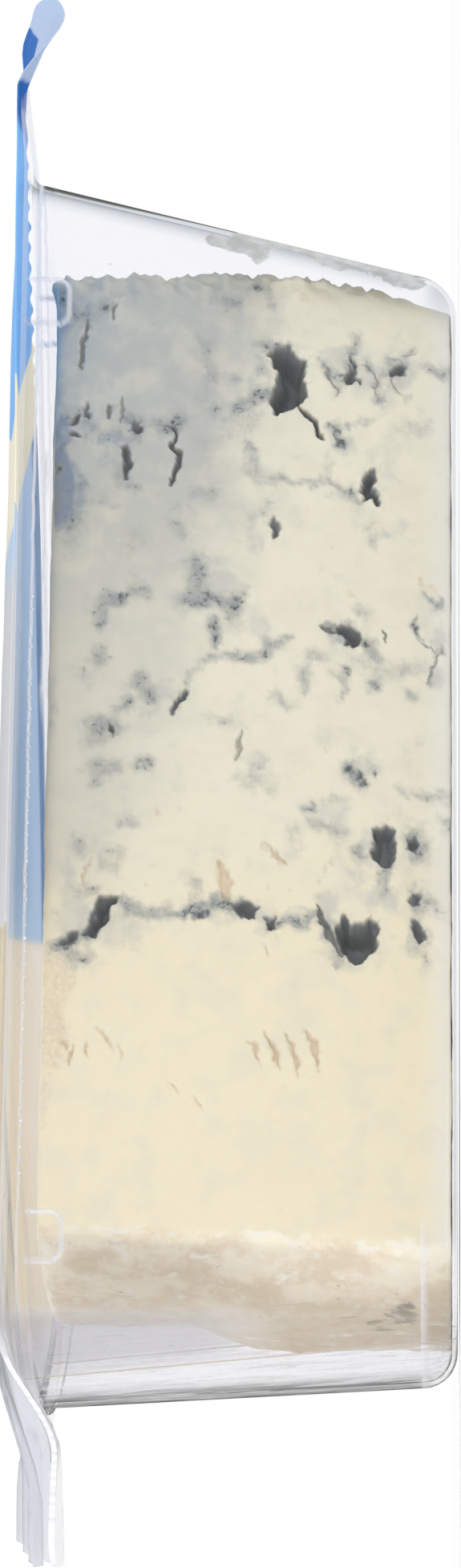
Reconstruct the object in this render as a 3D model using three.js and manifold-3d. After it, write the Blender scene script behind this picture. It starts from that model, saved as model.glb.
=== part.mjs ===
// A retail wedge of blue cheese: the cheese itself, the clear formed tray that holds it, and the
// printed lid film that closes the tray. Millimetres, +Z up, resting on the tray's base.
//
// The wedge's length lies along X, with its tip towards +X and its rind towards -X. Places along
// it are written as a reach: the distance from the cheese's tip towards its rind.
import * as THREE from 'three';
import { mergeVertices } from 'three/addons/utils/BufferGeometryUtils.js';
import { LoftGeometry } from 'three/addons/geometries/LoftGeometry.js';
import Module from 'manifold-3d';

const wasm = await Module();
wasm.setup();

// Driving dimensions of the whole pack
const ORIGIN_REACH = 45.8; // reach of the pack's middle, where X is 0
const RIM_HEIGHT = 39.2; // height of the flange's underside

// Cheese
const CHEESE_HALF_ANGLE = 24.5; // degrees, half of the sector cut from the wheel
const CHEESE_SIDE = 0.6; // how far each cut face stands off the sector's own radius
const CHEESE_BOTTOM = 0.9;
const CHEESE_TOP = 37.1;
const WHEEL_RADIUS = 99.4;
const RIND_LEAN = 2.4; // how much less the wheel's radius is at its top edge
const RIND_LEAN_FROM = 17; // height at which the rind starts to lean in
const RIND_LEAN_OVER = 9;
const TIP_WEAR = 3.6; // how much of the tip is rubbed off at the bottom
const TIP_WEAR_HEIGHT = 15;
const TIP_WEAR_POWER = 1.4;
const BOTTOM_ROUND = 2.3; // edge radius where the cheese sits in the tray's bottom fillet
const TOP_ROUND = 1.1;
const CUT_FACE_ROUND = 0.75; // share of that rounding which the cut faces take
const RIND_CORNER = 1.2;
const RIND_BUMP = 0.35;
const RIND_BUMP_PITCH = 6;
const RIND_BUMP_REACH = [86, 90]; // where the bumps come in
const TIP_CRUMB = 0.5;
const TIP_CRUMB_PITCH = 5.3;
const TIP_CRUMB_REACH = [0, 6]; // where the crumbs fade out
const CHEESE_STEPS = 17; // rings up the cheese's straight faces
const CHEESE_STATIONS = 15; // points along a cut face

// Tray
const TRAY_HALF_ANGLE = 23.5; // degrees
const WALL = 0.5;
const TRAY_SIDE = 3.5; // outer side wall's stand-off from its own radius, at the base
const TRAY_TIP = 0.7; // reach of the tip wall at the base
const TRAY_BACK = 102.7; // reach of the rind end's wall at the base
const TRAY_BACK_RADIUS = 130;
const TRAY_CORNER = 4;
const LEAST_CORNER = 1;
const BASE_FILLET = 3;
const FILLET_TURNS = [0, 30, 60, 90]; // degrees round the fillet
const SIDE_DRAFT = 5; // degrees
const TIP_DRAFT = 13.8;
const BACK_DRAFT = 3.1;
const SHOULDER_HEIGHT = 37.3;
const SHOULDER = 0.6; // how far the rim steps out
const SHOULDER_RISE = 0.3;

// Stacking lugs, pressed out of the side walls just under the flange
const LUG_OUT = 0.9;
const LUG_FOOT = 35;
const LUG_RAMP = 0.7;
const TIP_LUG = [0.6, 5.4]; // reach of its two ends
const RIND_LUG = [86, 90.9];

// Flange and lid film
const FLANGE_THICKNESS = 0.5;
const FLANGE_WIDTH = 5;
const FLANGE_TIP = -18.2;
const WEB_BACK = 117.5; // straight cut behind the rind end, shared by flange and film
const STRAIGHT = 2000; // radius of an arc that passes for a straight cut
const WEB_CORNER = 2.5;
const FILM_LIP = 0.3; // how far the film stands past the flange
const TAB_LENGTH = 8;
const TAB_FROM = 12.5; // how far before the tip the film starts to draw out into its pull tab
const FILM_GAP = 0.45;
const FILM_THICKNESS = 0.3;
const FILM_BULGE = 2.2;
const BULGE_REACH = 60; // reach of the film's highest spot

// How the thin edges are bent away from the rim
const TIP_LIFT = 1;
const TIP_LIFT_OVER = 9;
const TAB_TWIST = 0.4; // fall per millimetre of width at the tab's end
const TAB_HINGE = 5.5; // place across about which the tab turns
const NEAR_DROOP = 4;
const NEAR_DROOP_ACROSS = [10, 50];
const FAR_RISE = 1.9;
const FAR_RISE_ACROSS = [-20, 40];
const TAIL_FROM = 96; // reach at which the tail starts to bend
const TAIL_OVER = 20;

// Points round an outline
const TIP_POINTS = 9;
const CORNER_POINTS = 6;
const BACK_POINTS = 15;
const WEB_SHARES = [0.15, 0.45, 0.75, 1]; // rings of the flange and the film, from the rim to the edge
const BULGE_RINGS = [0.15, 0.45, 0.75, 1];
const BEND_POWER = 4; // how fast the web's bend dies away over the tray's mouth
const SIDE_REACHES = [14, 26, 38, 50, 62, 70, 74, 78, 81.5]; // side points between the lugs
const EDGE_SHARES = [1, 0.55, 0.2]; // rings round the cheese's upper and lower edge

const SEED = 41;

const radians = THREE.MathUtils.degToRad;
const { smoothstep, lerp } = THREE.MathUtils;

// Repeatable random numbers from 0 to 1
function randomFrom(seed) {
  let state = seed;
  return () => {
    state = (state + 0x6d2b79f5) | 0;
    let mixed = Math.imul(state ^ (state >>> 15), 1 | state);
    mixed = (mixed + Math.imul(mixed ^ (mixed >>> 7), 61 | mixed)) ^ mixed;
    return ((mixed ^ (mixed >>> 14)) >>> 0) / 4294967296;
  };
}

// A point in the pack's frame from its reach, its place across and its height
function place(reach, across, height) {
  return new THREE.Vector3(ORIGIN_REACH - reach, across, height);
}

// The arcs of a rounded wedge seen from above: a round tip, two straight sides, two corners and
// a curved back. Angles are measured from the reach axis.
function wedgeArcs({ halfAngle, side, tip, back, backRadius, corner }) {
  const angle = radians(halfAngle);
  const sin = Math.sin(angle);
  const cos = Math.cos(angle);
  const tipRadius = (side + tip * sin) / (1 - sin);
  const tipCentre = tip + tipRadius;
  const backCentre = back - backRadius;
  const across = side - corner;
  const along = backCentre * cos + Math.sqrt((backRadius - corner) ** 2 - (across + backCentre * sin) ** 2);
  const cornerReach = along * cos - across * sin;
  const cornerAcross = along * sin + across * cos;
  return {
    sideAngle: Math.PI / 2 + angle,
    tipRadius,
    tipCentre,
    backCentre,
    cornerReach,
    cornerAcross,
    backAngle: Math.atan2(cornerAcross, cornerReach - backCentre),
    sideStart: tipCentre - tipRadius * sin,
    sideEnd: cornerReach - corner * sin,
  };
}

// An outline of that wedge as {reach, across} points, anticlockwise from above. stations are the
// places of the side points, from 0 at the tip's end to 1 at the corner's, and press(station)
// pushes them outwards.
function wedgeOutline(shape, stations, press = () => 0) {
  const arcs = wedgeArcs(shape);
  const points = [];
  const arc = (reach, across, radius, from, to, count, ends) => {
    for (let i = ends; i <= count - ends; i++) {
      const angle = lerp(from, to, i / count);
      points.push({ reach: reach + radius * Math.cos(angle), across: across + radius * Math.sin(angle) });
    }
  };
  const flank = (sign) => {
    const places = sign > 0 ? stations : [...stations].reverse();
    for (const station of places) {
      const reach = lerp(arcs.sideStart, arcs.sideEnd, station);
      const sin = Math.sin(radians(shape.halfAngle));
      const cos = Math.cos(radians(shape.halfAngle));
      const out = press(station);
      const across = (shape.side + reach * sin) / cos;
      points.push({ reach: reach - out * sin, across: sign * (across + out * cos) });
    }
  };
  flank(1);
  arc(arcs.cornerReach, arcs.cornerAcross, shape.corner, arcs.sideAngle, arcs.backAngle, CORNER_POINTS, 1);
  arc(arcs.backCentre, 0, shape.backRadius, arcs.backAngle, -arcs.backAngle, BACK_POINTS, 0);
  arc(arcs.cornerReach, -arcs.cornerAcross, shape.corner, -arcs.backAngle, -arcs.sideAngle, CORNER_POINTS, 1);
  flank(-1);
  arc(arcs.tipCentre, 0, arcs.tipRadius, -arcs.sideAngle + 2 * Math.PI, arcs.sideAngle, TIP_POINTS, 1);
  return points;
}

// A geometry with its shared corners merged, and without the faces that this makes empty
function welded(geometry) {
  const bare = new THREE.BufferGeometry();
  bare.setAttribute('position', geometry.attributes.position);
  bare.setIndex(geometry.index);
  const merged = mergeVertices(bare);
  const corners = merged.index.array;
  const kept = [];
  for (let i = 0; i < corners.length; i += 3) {
    const [a, b, c] = corners.subarray(i, i + 3);
    if (a !== b && b !== c && c !== a) kept.push(a, b, c);
  }
  merged.setIndex(kept);
  merged.computeVertexNormals();
  return merged;
}

// A closed solid skinned through rings of points, each end a fan round its middle
function loft(rings) {
  const hub = (ring) => {
    const middle = ring.reduce((sum, point) => sum.add(point), new THREE.Vector3()).divideScalar(ring.length);
    return ring.map(() => middle);
  };
  return welded(new LoftGeometry([hub(rings[0]), ...rings, hub(rings.at(-1))]));
}

// The outline of the tray's outer face at a height, inset by a fillet or a wall
function trayShape(height, inset = 0) {
  const stepped = SHOULDER * smoothstep(height, SHOULDER_HEIGHT, SHOULDER_HEIGHT + SHOULDER_RISE);
  const out = stepped - inset;
  return {
    halfAngle: TRAY_HALF_ANGLE,
    side: TRAY_SIDE + height * Math.tan(radians(SIDE_DRAFT)) + out,
    tip: TRAY_TIP - height * Math.tan(radians(TIP_DRAFT)) - out,
    back: TRAY_BACK + height * Math.tan(radians(BACK_DRAFT)) + out,
    backRadius: TRAY_BACK_RADIUS + out,
    corner: Math.max(TRAY_CORNER + out, LEAST_CORNER),
  };
}

// How far a place lies outside the tray's rim, seen from above
function outsideRim({ reach, across }) {
  const rim = trayShape(RIM_HEIGHT);
  const arcs = wedgeArcs(rim);
  const sin = Math.sin(radians(rim.halfAngle));
  const cos = Math.cos(radians(rim.halfAngle));
  const side = Math.abs(across) * cos - reach * sin - rim.side;
  const tip = Math.hypot(reach - arcs.tipCentre, across) - arcs.tipRadius;
  const roundTip = (reach - arcs.tipCentre) * cos + Math.abs(across) * sin < 0;
  const back = Math.hypot(reach - arcs.backCentre, across) - rim.backRadius;
  return Math.max(roundTip ? tip : side, back);
}

// How far the thin sheet outside the rim is bent up or down
function bend(point) {
  const tip = TIP_LIFT * smoothstep(-point.reach, TIP_LIFT_OVER, 2 * TIP_LIFT_OVER);
  const tail = smoothstep(point.reach, TAIL_FROM, TAIL_FROM + TAIL_OVER);
  const near = NEAR_DROOP * smoothstep(-point.across, ...NEAR_DROOP_ACROSS);
  const far = FAR_RISE * smoothstep(point.across, ...FAR_RISE_ACROSS);
  return smoothstep(outsideRim(point), 0, FLANGE_WIDTH) * (tip + tail * (far - near));
}

// The outline of flange and film at a share of the way from the rim to the flange's outer edge
function webShape(share) {
  const rim = trayShape(RIM_HEIGHT);
  return {
    halfAngle: TRAY_HALF_ANGLE,
    side: rim.side + FLANGE_WIDTH * share,
    tip: lerp(rim.tip, FLANGE_TIP, share),
    back: lerp(rim.back, WEB_BACK, share),
    backRadius: 1 / lerp(1 / rim.backRadius, 1 / STRAIGHT, share),
    corner: lerp(rim.corner, WEB_CORNER, share),
  };
}

// Where the side points lie, with some on the ends and ramps of each lug
function sideStations() {
  const rim = wedgeArcs(trayShape(RIM_HEIGHT));
  const station = (reach) => (reach - rim.sideStart) / (rim.sideEnd - rim.sideStart);
  const lugs = [TIP_LUG, RIND_LUG].flatMap(([from, to]) => [from, from + LUG_RAMP, to - LUG_RAMP, to]);
  return [0, ...[...lugs, ...SIDE_REACHES].map(station).sort((a, b) => a - b), 1];
}

// How far a lug stands out at a station, from 0 to LUG_OUT
function lugPress(station) {
  const rim = wedgeArcs(trayShape(RIM_HEIGHT));
  const reach = lerp(rim.sideStart, rim.sideEnd, station);
  const share = ([from, to]) =>
    Math.min(smoothstep(reach, from, from + LUG_RAMP), 1 - smoothstep(reach, to - LUG_RAMP, to));
  return LUG_OUT * Math.max(share(TIP_LUG), share(RIND_LUG));
}

// One ring of the tray's wall. inset is the wall's thickness on the inner face, and round is the
// extra inset inside the base's fillet.
function wallRing(height, inset, round, lugged) {
  const points = wedgeOutline(trayShape(height, inset + round), sideStations(), lugged ? lugPress : undefined);
  return points.map(({ reach, across }) => place(reach, across, height));
}

// The base fillet's rings, from the flat base up to the wall
function filletRings(inset) {
  const radius = BASE_FILLET - inset;
  return FILLET_TURNS.map((turn) => {
    const round = radius * (1 - Math.sin(radians(turn)));
    return wallRing(inset + radius * (1 - Math.cos(radians(turn))), inset, round, false);
  });
}

// One ring of the thin web round the mouth, at a share of its width: the flange, and the film that
// is sealed to it
function webRing(share, height) {
  const points = wedgeOutline(webShape(share), sideStations());
  return points.map((point) => place(point.reach, point.across, height + bend(point)));
}

function trayGeometry() {
  const wallLevels = [
    [LUG_FOOT, false],
    [LUG_FOOT + LUG_RAMP, true],
    [SHOULDER_HEIGHT, true],
    [SHOULDER_HEIGHT + SHOULDER_RISE, true],
    [RIM_HEIGHT - WALL, true],
  ];
  const outer = [...filletRings(0), ...wallLevels.map(([height, lugged]) => wallRing(height, 0, 0, lugged))];
  const inner = [...filletRings(WALL), ...wallLevels.map(([height, lugged]) => wallRing(height, WALL, 0, lugged))];
  const under = WEB_SHARES.map((share) => webRing(share, RIM_HEIGHT));
  const over = WEB_SHARES.map((share) => webRing(share, RIM_HEIGHT + FLANGE_THICKNESS)).reverse();
  return loft([...outer, ...under, ...over, ...inner.reverse()]);
}

// The film's height above the flange, over the tray's mouth. ring is 0 in the middle and 1 at the rim.
function bulge(ring) {
  return FILM_BULGE * (1 - ring ** 2);
}

// The film's edge, which stands a little past the flange and is drawn out at the tip as a pull tab
function filmEdge(height) {
  const points = wedgeOutline(webShape(1 + FILM_LIP / FLANGE_WIDTH), sideStations());
  return points.map((point) => {
    const drawn = smoothstep(-point.reach, TAB_FROM, -FLANGE_TIP);
    const twist = TAB_TWIST * (point.across - TAB_HINGE) * drawn;
    return place(point.reach - TAB_LENGTH * drawn, point.across, height + bend(point) + twist);
  });
}

function filmGeometry() {
  const [inner, ...outer] = WEB_SHARES;
  const mouth = wedgeOutline(webShape(inner), sideStations());
  const mouthRing = (ring, height) =>
    mouth.map((point) => {
      const rise = bulge(ring) + bend(point) * ring ** BEND_POWER;
      return place(lerp(BULGE_REACH, point.reach, ring), point.across * ring, height + rise);
    });
  const face = (height) => [
    ...BULGE_RINGS.map((ring) => mouthRing(ring, height)),
    ...outer.map((share) => webRing(share, height)),
    filmEdge(height),
  ];
  const bottom = RIM_HEIGHT + FLANGE_THICKNESS + FILM_GAP;
  return loft([...face(bottom), ...face(bottom + FILM_THICKNESS).reverse()]);
}

// The bare wedge of cheese, with its leaning rind, its worn tip and its rounded edges
function cheeseShape(height) {
  const wear = Math.max(0, (TIP_WEAR_HEIGHT - height) / TIP_WEAR_HEIGHT) ** TIP_WEAR_POWER * TIP_WEAR;
  const below = Math.max(0, CHEESE_BOTTOM + BOTTOM_ROUND - height);
  const above = Math.max(0, height - CHEESE_TOP + TOP_ROUND);
  const round =
    BOTTOM_ROUND - Math.sqrt(BOTTOM_ROUND ** 2 - below ** 2) + TOP_ROUND - Math.sqrt(TOP_ROUND ** 2 - above ** 2);
  const lean = RIND_LEAN * smoothstep(height, RIND_LEAN_FROM, RIND_LEAN_FROM + RIND_LEAN_OVER);
  return {
    halfAngle: CHEESE_HALF_ANGLE,
    side: CHEESE_SIDE - round * CUT_FACE_ROUND,
    tip: wear + round,
    back: WHEEL_RADIUS - lean - round,
    backRadius: WHEEL_RADIUS - lean - round,
    corner: RIND_CORNER,
  };
}

// Two slanting waves that make up the cheese's unevenness, so that its bumps fall in no rows
const WAVES = { slant: 0.31, wander: 1.7, wanderRate: 0.6, rise: 0.83, back: 0.4, along: 0.5, shift: 2.1 };

// A smooth unevenness from -1 to 1, with bumps about a pitch wide
function uneven(reach, across, height, pitch) {
  const turn = (2 * Math.PI) / pitch;
  const wander = WAVES.wander * Math.sin(WAVES.wanderRate * turn * height);
  const first = Math.sin(turn * (across + WAVES.slant * height) + wander);
  const second = Math.sin(turn * (WAVES.rise * height - WAVES.back * across + WAVES.along * reach) + WAVES.shift);
  return (first + second) / 2;
}

function bareCheese() {
  const stations = Array.from({ length: CHEESE_STATIONS }, (_, i) => i / (CHEESE_STATIONS - 1));
  const inset = EDGE_SHARES.map((share) => 1 - Math.sin((share * Math.PI) / 2));
  const low = inset.map((share) => CHEESE_BOTTOM + BOTTOM_ROUND * share);
  const high = inset.map((share) => CHEESE_TOP - TOP_ROUND * share).reverse();
  const straight = [CHEESE_BOTTOM + BOTTOM_ROUND, CHEESE_TOP - TOP_ROUND];
  const steps = Array.from({ length: CHEESE_STEPS }, (_, i) => lerp(...straight, i / (CHEESE_STEPS - 1)));
  const rings = [...low, ...steps, ...high].map((height) =>
    wedgeOutline(cheeseShape(height), stations).map(({ reach, across }) => {
      const rind = smoothstep(reach, ...RIND_BUMP_REACH);
      const tip = 1 - smoothstep(reach, ...TIP_CRUMB_REACH);
      const bump = uneven(reach, across, height, RIND_BUMP_PITCH) * RIND_BUMP * rind;
      const crumb = uneven(reach, across, height, TIP_CRUMB_PITCH) * TIP_CRUMB * tip;
      return place(reach - bump + crumb, across, height);
    }),
  );
  return loft(rings);
}

// A closed geometry as a solid that can be joined and cut
function solidOf(geometry) {
  return new wasm.Manifold(
    new wasm.Mesh({
      numProp: 3,
      vertProperties: new Float32Array(geometry.attributes.position.array),
      triVerts: new Uint32Array(geometry.index.array),
    }),
  );
}

function geometryOf(solid) {
  const { vertProperties, triVerts } = solid.getMesh();
  const geometry = new THREE.BufferGeometry();
  geometry.setAttribute('position', new THREE.BufferAttribute(new Float32Array(vertProperties), 3));
  geometry.setIndex(new THREE.BufferAttribute(new Uint32Array(triVerts), 1));
  geometry.computeVertexNormals();
  return geometry;
}

const PIT_CORNERS = [0.8, 1.2]; // how near and far a pit's corners lie, as shares of its radius
const TOP_PIT_ACROSS = [-0.2, 0.25]; // where pits lie across the top, as shares of its half width

// A rough pit: a faceted ball whose corners are moved in and out, long along the wedge by length,
// tall by height and as deep into the face as deep
function pitCutter(random, { reach, height, length, tall, deep, turn = 0 }, face) {
  const rough = welded(new THREE.IcosahedronGeometry(1, 1));
  const corners = rough.attributes.position;
  for (let i = 0; i < corners.count; i++) {
    const corner = new THREE.Vector3().fromBufferAttribute(corners, i).multiplyScalar(lerp(...PIT_CORNERS, random()));
    corners.setXYZ(i, corner.x, corner.y, corner.z);
  }
  rough.scale(length / 2, deep, tall / 2);
  rough.rotateY(radians(turn));
  const slope = radians(CHEESE_HALF_ANGLE);
  const across = (CHEESE_SIDE + reach * Math.sin(slope)) / Math.cos(slope);
  if (face === 'top') {
    rough.rotateX(Math.PI / 2);
  } else {
    rough.rotateZ(face === 'near' ? slope : -slope);
  }
  const side = { near: -1, far: 1, top: lerp(...TOP_PIT_ACROSS, random()) }[face];
  const spot = place(reach, side * across, face === 'top' ? CHEESE_TOP : height);
  rough.translate(spot.x, spot.y, spot.z);
  return solidOf(rough);
}

// The mould holes and cracks that show on the near cut face, by reach and height in millimetres.
// turn leans a long hole, in degrees.
const NEAR_PITS = [
  { reach: 8.6, height: 16.2, length: 5, tall: 3, deep: 4 },
  { reach: 11.6, height: 15.2, length: 4.4, tall: 3, deep: 4 },
  { reach: 14.3, height: 13.2, length: 4, tall: 0.9, deep: 1.4, turn: 40 },
  { reach: 8.6, height: 10.4, length: 2.6, tall: 1.8, deep: 1.4 },
  { reach: 9.4, height: 5.6, length: 3, tall: 1.4, deep: 1.3, turn: 30 },
  { reach: 20.1, height: 7.9, length: 4, tall: 1.6, deep: 2.6 },
  { reach: 24, height: 17, length: 2.3, tall: 0.8, deep: 1.2 },
  { reach: 17.8, height: 30.6, length: 3.8, tall: 1.1, deep: 1.8 },
  { reach: 14.5, height: 29.5, length: 1.6, tall: 1.2, deep: 1.4 },
  { reach: 17, height: 26.1, length: 6, tall: 0.9, deep: 1.3, turn: -6 },
  { reach: 34.4, height: 9.3, length: 2, tall: 1.8, deep: 2 },
  { reach: 33.5, height: 10.6, length: 0.9, tall: 2, deep: 1.2 },
  { reach: 40.3, height: 25.8, length: 3.2, tall: 1.1, deep: 1.6, turn: -38 },
  { reach: 46.8, height: 8.8, length: 2.2, tall: 2.3, deep: 0.8 },
  { reach: 53.7, height: 7.4, length: 4.2, tall: 2.2, deep: 2.4 },
  { reach: 53.6, height: 4.6, length: 1.9, tall: 1.1, deep: 1.2 },
  { reach: 60, height: 10.2, length: 4, tall: 3.4, deep: 2.2 },
  { reach: 62.4, height: 8.9, length: 4.6, tall: 3.8, deep: 3.4 },
  { reach: 60.6, height: 4.2, length: 3.6, tall: 1.4, deep: 1.8 },
  { reach: 59.9, height: 19.8, length: 1.8, tall: 2.6, deep: 1.8 },
  { reach: 60.8, height: 17.6, length: 1.6, tall: 1.5, deep: 1.3 },
  { reach: 56.9, height: 21.6, length: 3.4, tall: 0.9, deep: 0.8 },
  { reach: 59.4, height: 32.6, length: 4.2, tall: 1.7, deep: 2.4, turn: -24 },
  { reach: 62, height: 34.6, length: 2.2, tall: 1.8, deep: 1.2 },
  { reach: 60.2, height: 26, length: 0.8, tall: 6.5, deep: 0.6 },
  { reach: 72.2, height: 17, length: 3, tall: 0.9, deep: 0.7 },
  { reach: 72.4, height: 14.6, length: 3.4, tall: 0.8, deep: 0.7 },
  { reach: 72, height: 13, length: 3, tall: 0.8, deep: 0.6 },
];

// Pits like those, scattered by rule over the faces that the near side hides
const FAR_PITS = 15;
const TOP_PITS = 6;
const PIT_SPOT = [0.2, 0.8]; // where a pit lies in its own share of the length
const PIT_RANGES = {
  reach: [10, 72],
  height: [6, 32],
  length: [1.6, 4.6],
  tall: [1, 2.8],
  deep: [0.9, 2.5],
  turn: [-30, 30],
};

function scatteredPits(random, count, face) {
  return Array.from({ length: count }, (_, i) => {
    const spot = (i + lerp(...PIT_SPOT, random())) / count;
    const pit = { reach: lerp(...PIT_RANGES.reach, spot) };
    for (const size of ['height', 'length', 'tall', 'deep', 'turn']) {
      pit[size] = lerp(...PIT_RANGES[size], random());
    }
    return pitCutter(random, pit, face);
  });
}

function cheeseGeometry() {
  const random = randomFrom(SEED);
  const cutters = [
    ...NEAR_PITS.map((pit) => pitCutter(random, pit, 'near')),
    ...scatteredPits(random, FAR_PITS, 'far'),
    ...scatteredPits(random, TOP_PITS, 'top'),
  ];
  const cheese = cutters.reduce((solid, cutter) => solid.subtract(cutter), solidOf(bareCheese()));
  return geometryOf(cheese);
}

function named(name, geometry, colour, roughness) {
  const mesh = new THREE.Mesh(geometry, new THREE.MeshStandardMaterial({ color: colour, roughness, metalness: 0 }));
  mesh.name = name;
  return mesh;
}

const pack = new THREE.Group();
pack.add(named('cheese', cheeseGeometry(), 0xe3decb, 0.6));
pack.add(named('tray', trayGeometry(), 0xeceef4, 0.1));
pack.add(named('lid_film', filmGeometry(), 0x9dbfe8, 0.25));

export default pack;
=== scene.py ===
"""A retail wedge of blue cheese in its clear formed tray, under a printed lid film with a pull tab.

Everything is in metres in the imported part's frame: the wedge lies along X with its tip towards +X, +Z is
up, and the shown cut face looks towards -Y. Places on the pack are worked out in millimetres as reach,
across and height, where reach is the distance from the cheese's tip towards its rind.
"""

import math
from dataclasses import dataclass

import bmesh
import bpy
import numpy as np
from mathutils import Matrix, Vector, noise


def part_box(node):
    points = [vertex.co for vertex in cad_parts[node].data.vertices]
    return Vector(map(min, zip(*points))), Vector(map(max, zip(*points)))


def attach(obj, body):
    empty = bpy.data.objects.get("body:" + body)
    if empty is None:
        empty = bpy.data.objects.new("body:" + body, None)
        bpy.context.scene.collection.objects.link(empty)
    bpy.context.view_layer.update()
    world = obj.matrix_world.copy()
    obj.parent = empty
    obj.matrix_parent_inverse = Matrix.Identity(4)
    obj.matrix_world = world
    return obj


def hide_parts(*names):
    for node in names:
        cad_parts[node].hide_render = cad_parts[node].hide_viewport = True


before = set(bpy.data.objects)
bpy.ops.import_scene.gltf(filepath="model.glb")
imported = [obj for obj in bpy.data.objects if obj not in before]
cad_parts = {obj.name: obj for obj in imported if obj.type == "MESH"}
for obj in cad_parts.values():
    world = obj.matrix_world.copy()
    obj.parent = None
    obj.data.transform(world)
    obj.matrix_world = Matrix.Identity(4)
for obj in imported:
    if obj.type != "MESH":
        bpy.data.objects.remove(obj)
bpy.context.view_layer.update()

MM = 0.001

# The pack's driving dimensions, in millimetres and degrees, most of them as in the part's source
ORIGIN_REACH = 45.8
RIM_HEIGHT = 39.2
CHEESE_LOWERED = 0.35  # how far the cheese reaches below the solid
CHEESE_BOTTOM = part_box("cheese")[0].z / MM - CHEESE_LOWERED
CHEESE_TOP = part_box("cheese")[1].z / MM

CHEESE_HALF_ANGLE = 24.5
CHEESE_SIDE = 0.6
WHEEL_RADIUS = 99.4
RIND_LEAN = 2.4
RIND_LEAN_FROM = 17
RIND_LEAN_OVER = 9
TIP_WEAR = 3.6
TIP_WEAR_HEIGHT = 15
TIP_WEAR_POWER = 1.4
BOTTOM_ROUND = 0.3
TOP_ROUND = 1.1
CUT_FACE_ROUND = 0.75
RIND_CORNER = 1.2

TRAY_HALF_ANGLE = 23.5
WALL = 0.5
TRAY_SIDE = 3.5
TRAY_TIP = 0.7
TRAY_BACK = 102.7
TRAY_BACK_RADIUS = 130
TRAY_CORNER = 4
BASE_FILLET = 3
SIDE_DRAFT = 5
TIP_DRAFT = 13.8
BACK_DRAFT = 3.1
SHOULDER_HEIGHT = 37.3
SHOULDER = 0.6
SHOULDER_RISE = 0.3
LUG_OUT = 0.9
LUG_FOOTS = (35.3, 34.3)
LUG_CORNER = 1.3
LUG_RAMP = 0.6
LUGS = [(0.6, 5.4), (86.0, 90.9)]

FLANGE_THICKNESS = 0.5
FLANGE_WIDTH = 5
FLANGE_TIP = -18.2
WEB_BACK = 117.5
STRAIGHT = 2000  # radius of the flange's edge at the rind end, which is nearly straight
WEB_CORNER = 2.5
TAB_LENGTH = 8
TAB_FROM = 12.5
FILM_BULGE = 2.45
BULGE_REACH = 60


# Shapes


@dataclass(frozen=True)
class Wedge:
    """A rounded wedge seen from above, in millimetres and degrees."""

    half_angle: float
    side: float
    tip: float
    back: float
    back_radius: float
    corner: float


@dataclass(frozen=True)
class WedgeArcs:
    """Where a wedge's tip, sides, corners and back meet: angles in radians, the rest in millimetres."""

    side_angle: float
    tip_radius: float
    tip_centre: float
    back_centre: float
    corner_reach: float
    corner_across: float
    back_angle: float
    side_start: float
    side_end: float


def wedge_arcs(wedge):
    angle = math.radians(wedge.half_angle)
    sin, cos = math.sin(angle), math.cos(angle)
    tip_radius = (wedge.side + wedge.tip * sin) / (1 - sin)
    tip_centre = wedge.tip + tip_radius
    back_centre = wedge.back - wedge.back_radius
    across = wedge.side - wedge.corner
    bow = (wedge.back_radius - wedge.corner) ** 2 - (across + back_centre * sin) ** 2
    along = back_centre * cos + math.sqrt(bow)
    corner_reach = along * cos - across * sin
    corner_across = along * sin + across * cos
    return WedgeArcs(
        side_angle=math.pi / 2 + angle,
        tip_radius=tip_radius,
        tip_centre=tip_centre,
        back_centre=back_centre,
        corner_reach=corner_reach,
        corner_across=corner_across,
        back_angle=math.atan2(corner_across, corner_reach - back_centre),
        side_start=tip_centre - tip_radius * sin,
        side_end=corner_reach - wedge.corner * sin,
    )


@dataclass(frozen=True)
class OutlinePoints:
    """How many points an outline has: the places along each side, from 0 to 1, and counts for its arcs."""

    far: np.ndarray
    near: np.ndarray
    tip: int
    corner: int
    back: int


def arc_points(reach, across, radius, start, end, count, ends):
    """An arc's points about its centre, from one angle to another, with some left out at both ends."""
    turns = np.linspace(start, end, count + 1)[ends : count + 1 - ends]
    return np.column_stack([reach + radius * np.cos(turns), across + radius * np.sin(turns)])


def wedge_outline(wedge, points, press=None):
    """The wedge's outline as rows of reach and across, anticlockwise from above. press(reach) pushes the
    straight sides outwards."""
    arcs = wedge_arcs(wedge)
    angle = math.radians(wedge.half_angle)
    sin, cos = math.sin(angle), math.cos(angle)

    def side(stations, sign):
        reach = arcs.side_start + (arcs.side_end - arcs.side_start) * stations
        out = press(reach) if press else 0
        across = (wedge.side + reach * sin) / cos
        return np.column_stack([reach - out * sin, sign * (across + out * cos)])

    corner = (wedge.corner, arcs.side_angle, arcs.back_angle)
    near_corner = (wedge.corner, -arcs.back_angle, -arcs.side_angle)
    back = (wedge.back_radius, arcs.back_angle, -arcs.back_angle)
    tip = (arcs.tip_radius, 2 * math.pi - arcs.side_angle, arcs.side_angle)
    return np.vstack(
        [
            side(points.far, 1),
            arc_points(arcs.corner_reach, arcs.corner_across, *corner, points.corner, 1),
            arc_points(arcs.back_centre, 0, *back, points.back, 0),
            arc_points(arcs.corner_reach, -arcs.corner_across, *near_corner, points.corner, 1),
            side(points.near, -1)[::-1],
            arc_points(arcs.tip_centre, 0, *tip, points.tip, 1),
        ]
    )


def smoothstep(value, low, high):
    share = np.clip((np.asarray(value, float) - low) / (high - low), 0, 1)
    return share * share * (3 - 2 * share)


def fade(value, low, high):
    return 1 - smoothstep(value, low, high)


def mix(low, high, share):
    return low + (high - low) * share


def place(reach, across, height):
    """Points in the part's frame, in metres, as rows."""
    return np.column_stack(np.broadcast_arrays(ORIGIN_REACH - reach, across, height)) * MM


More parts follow.
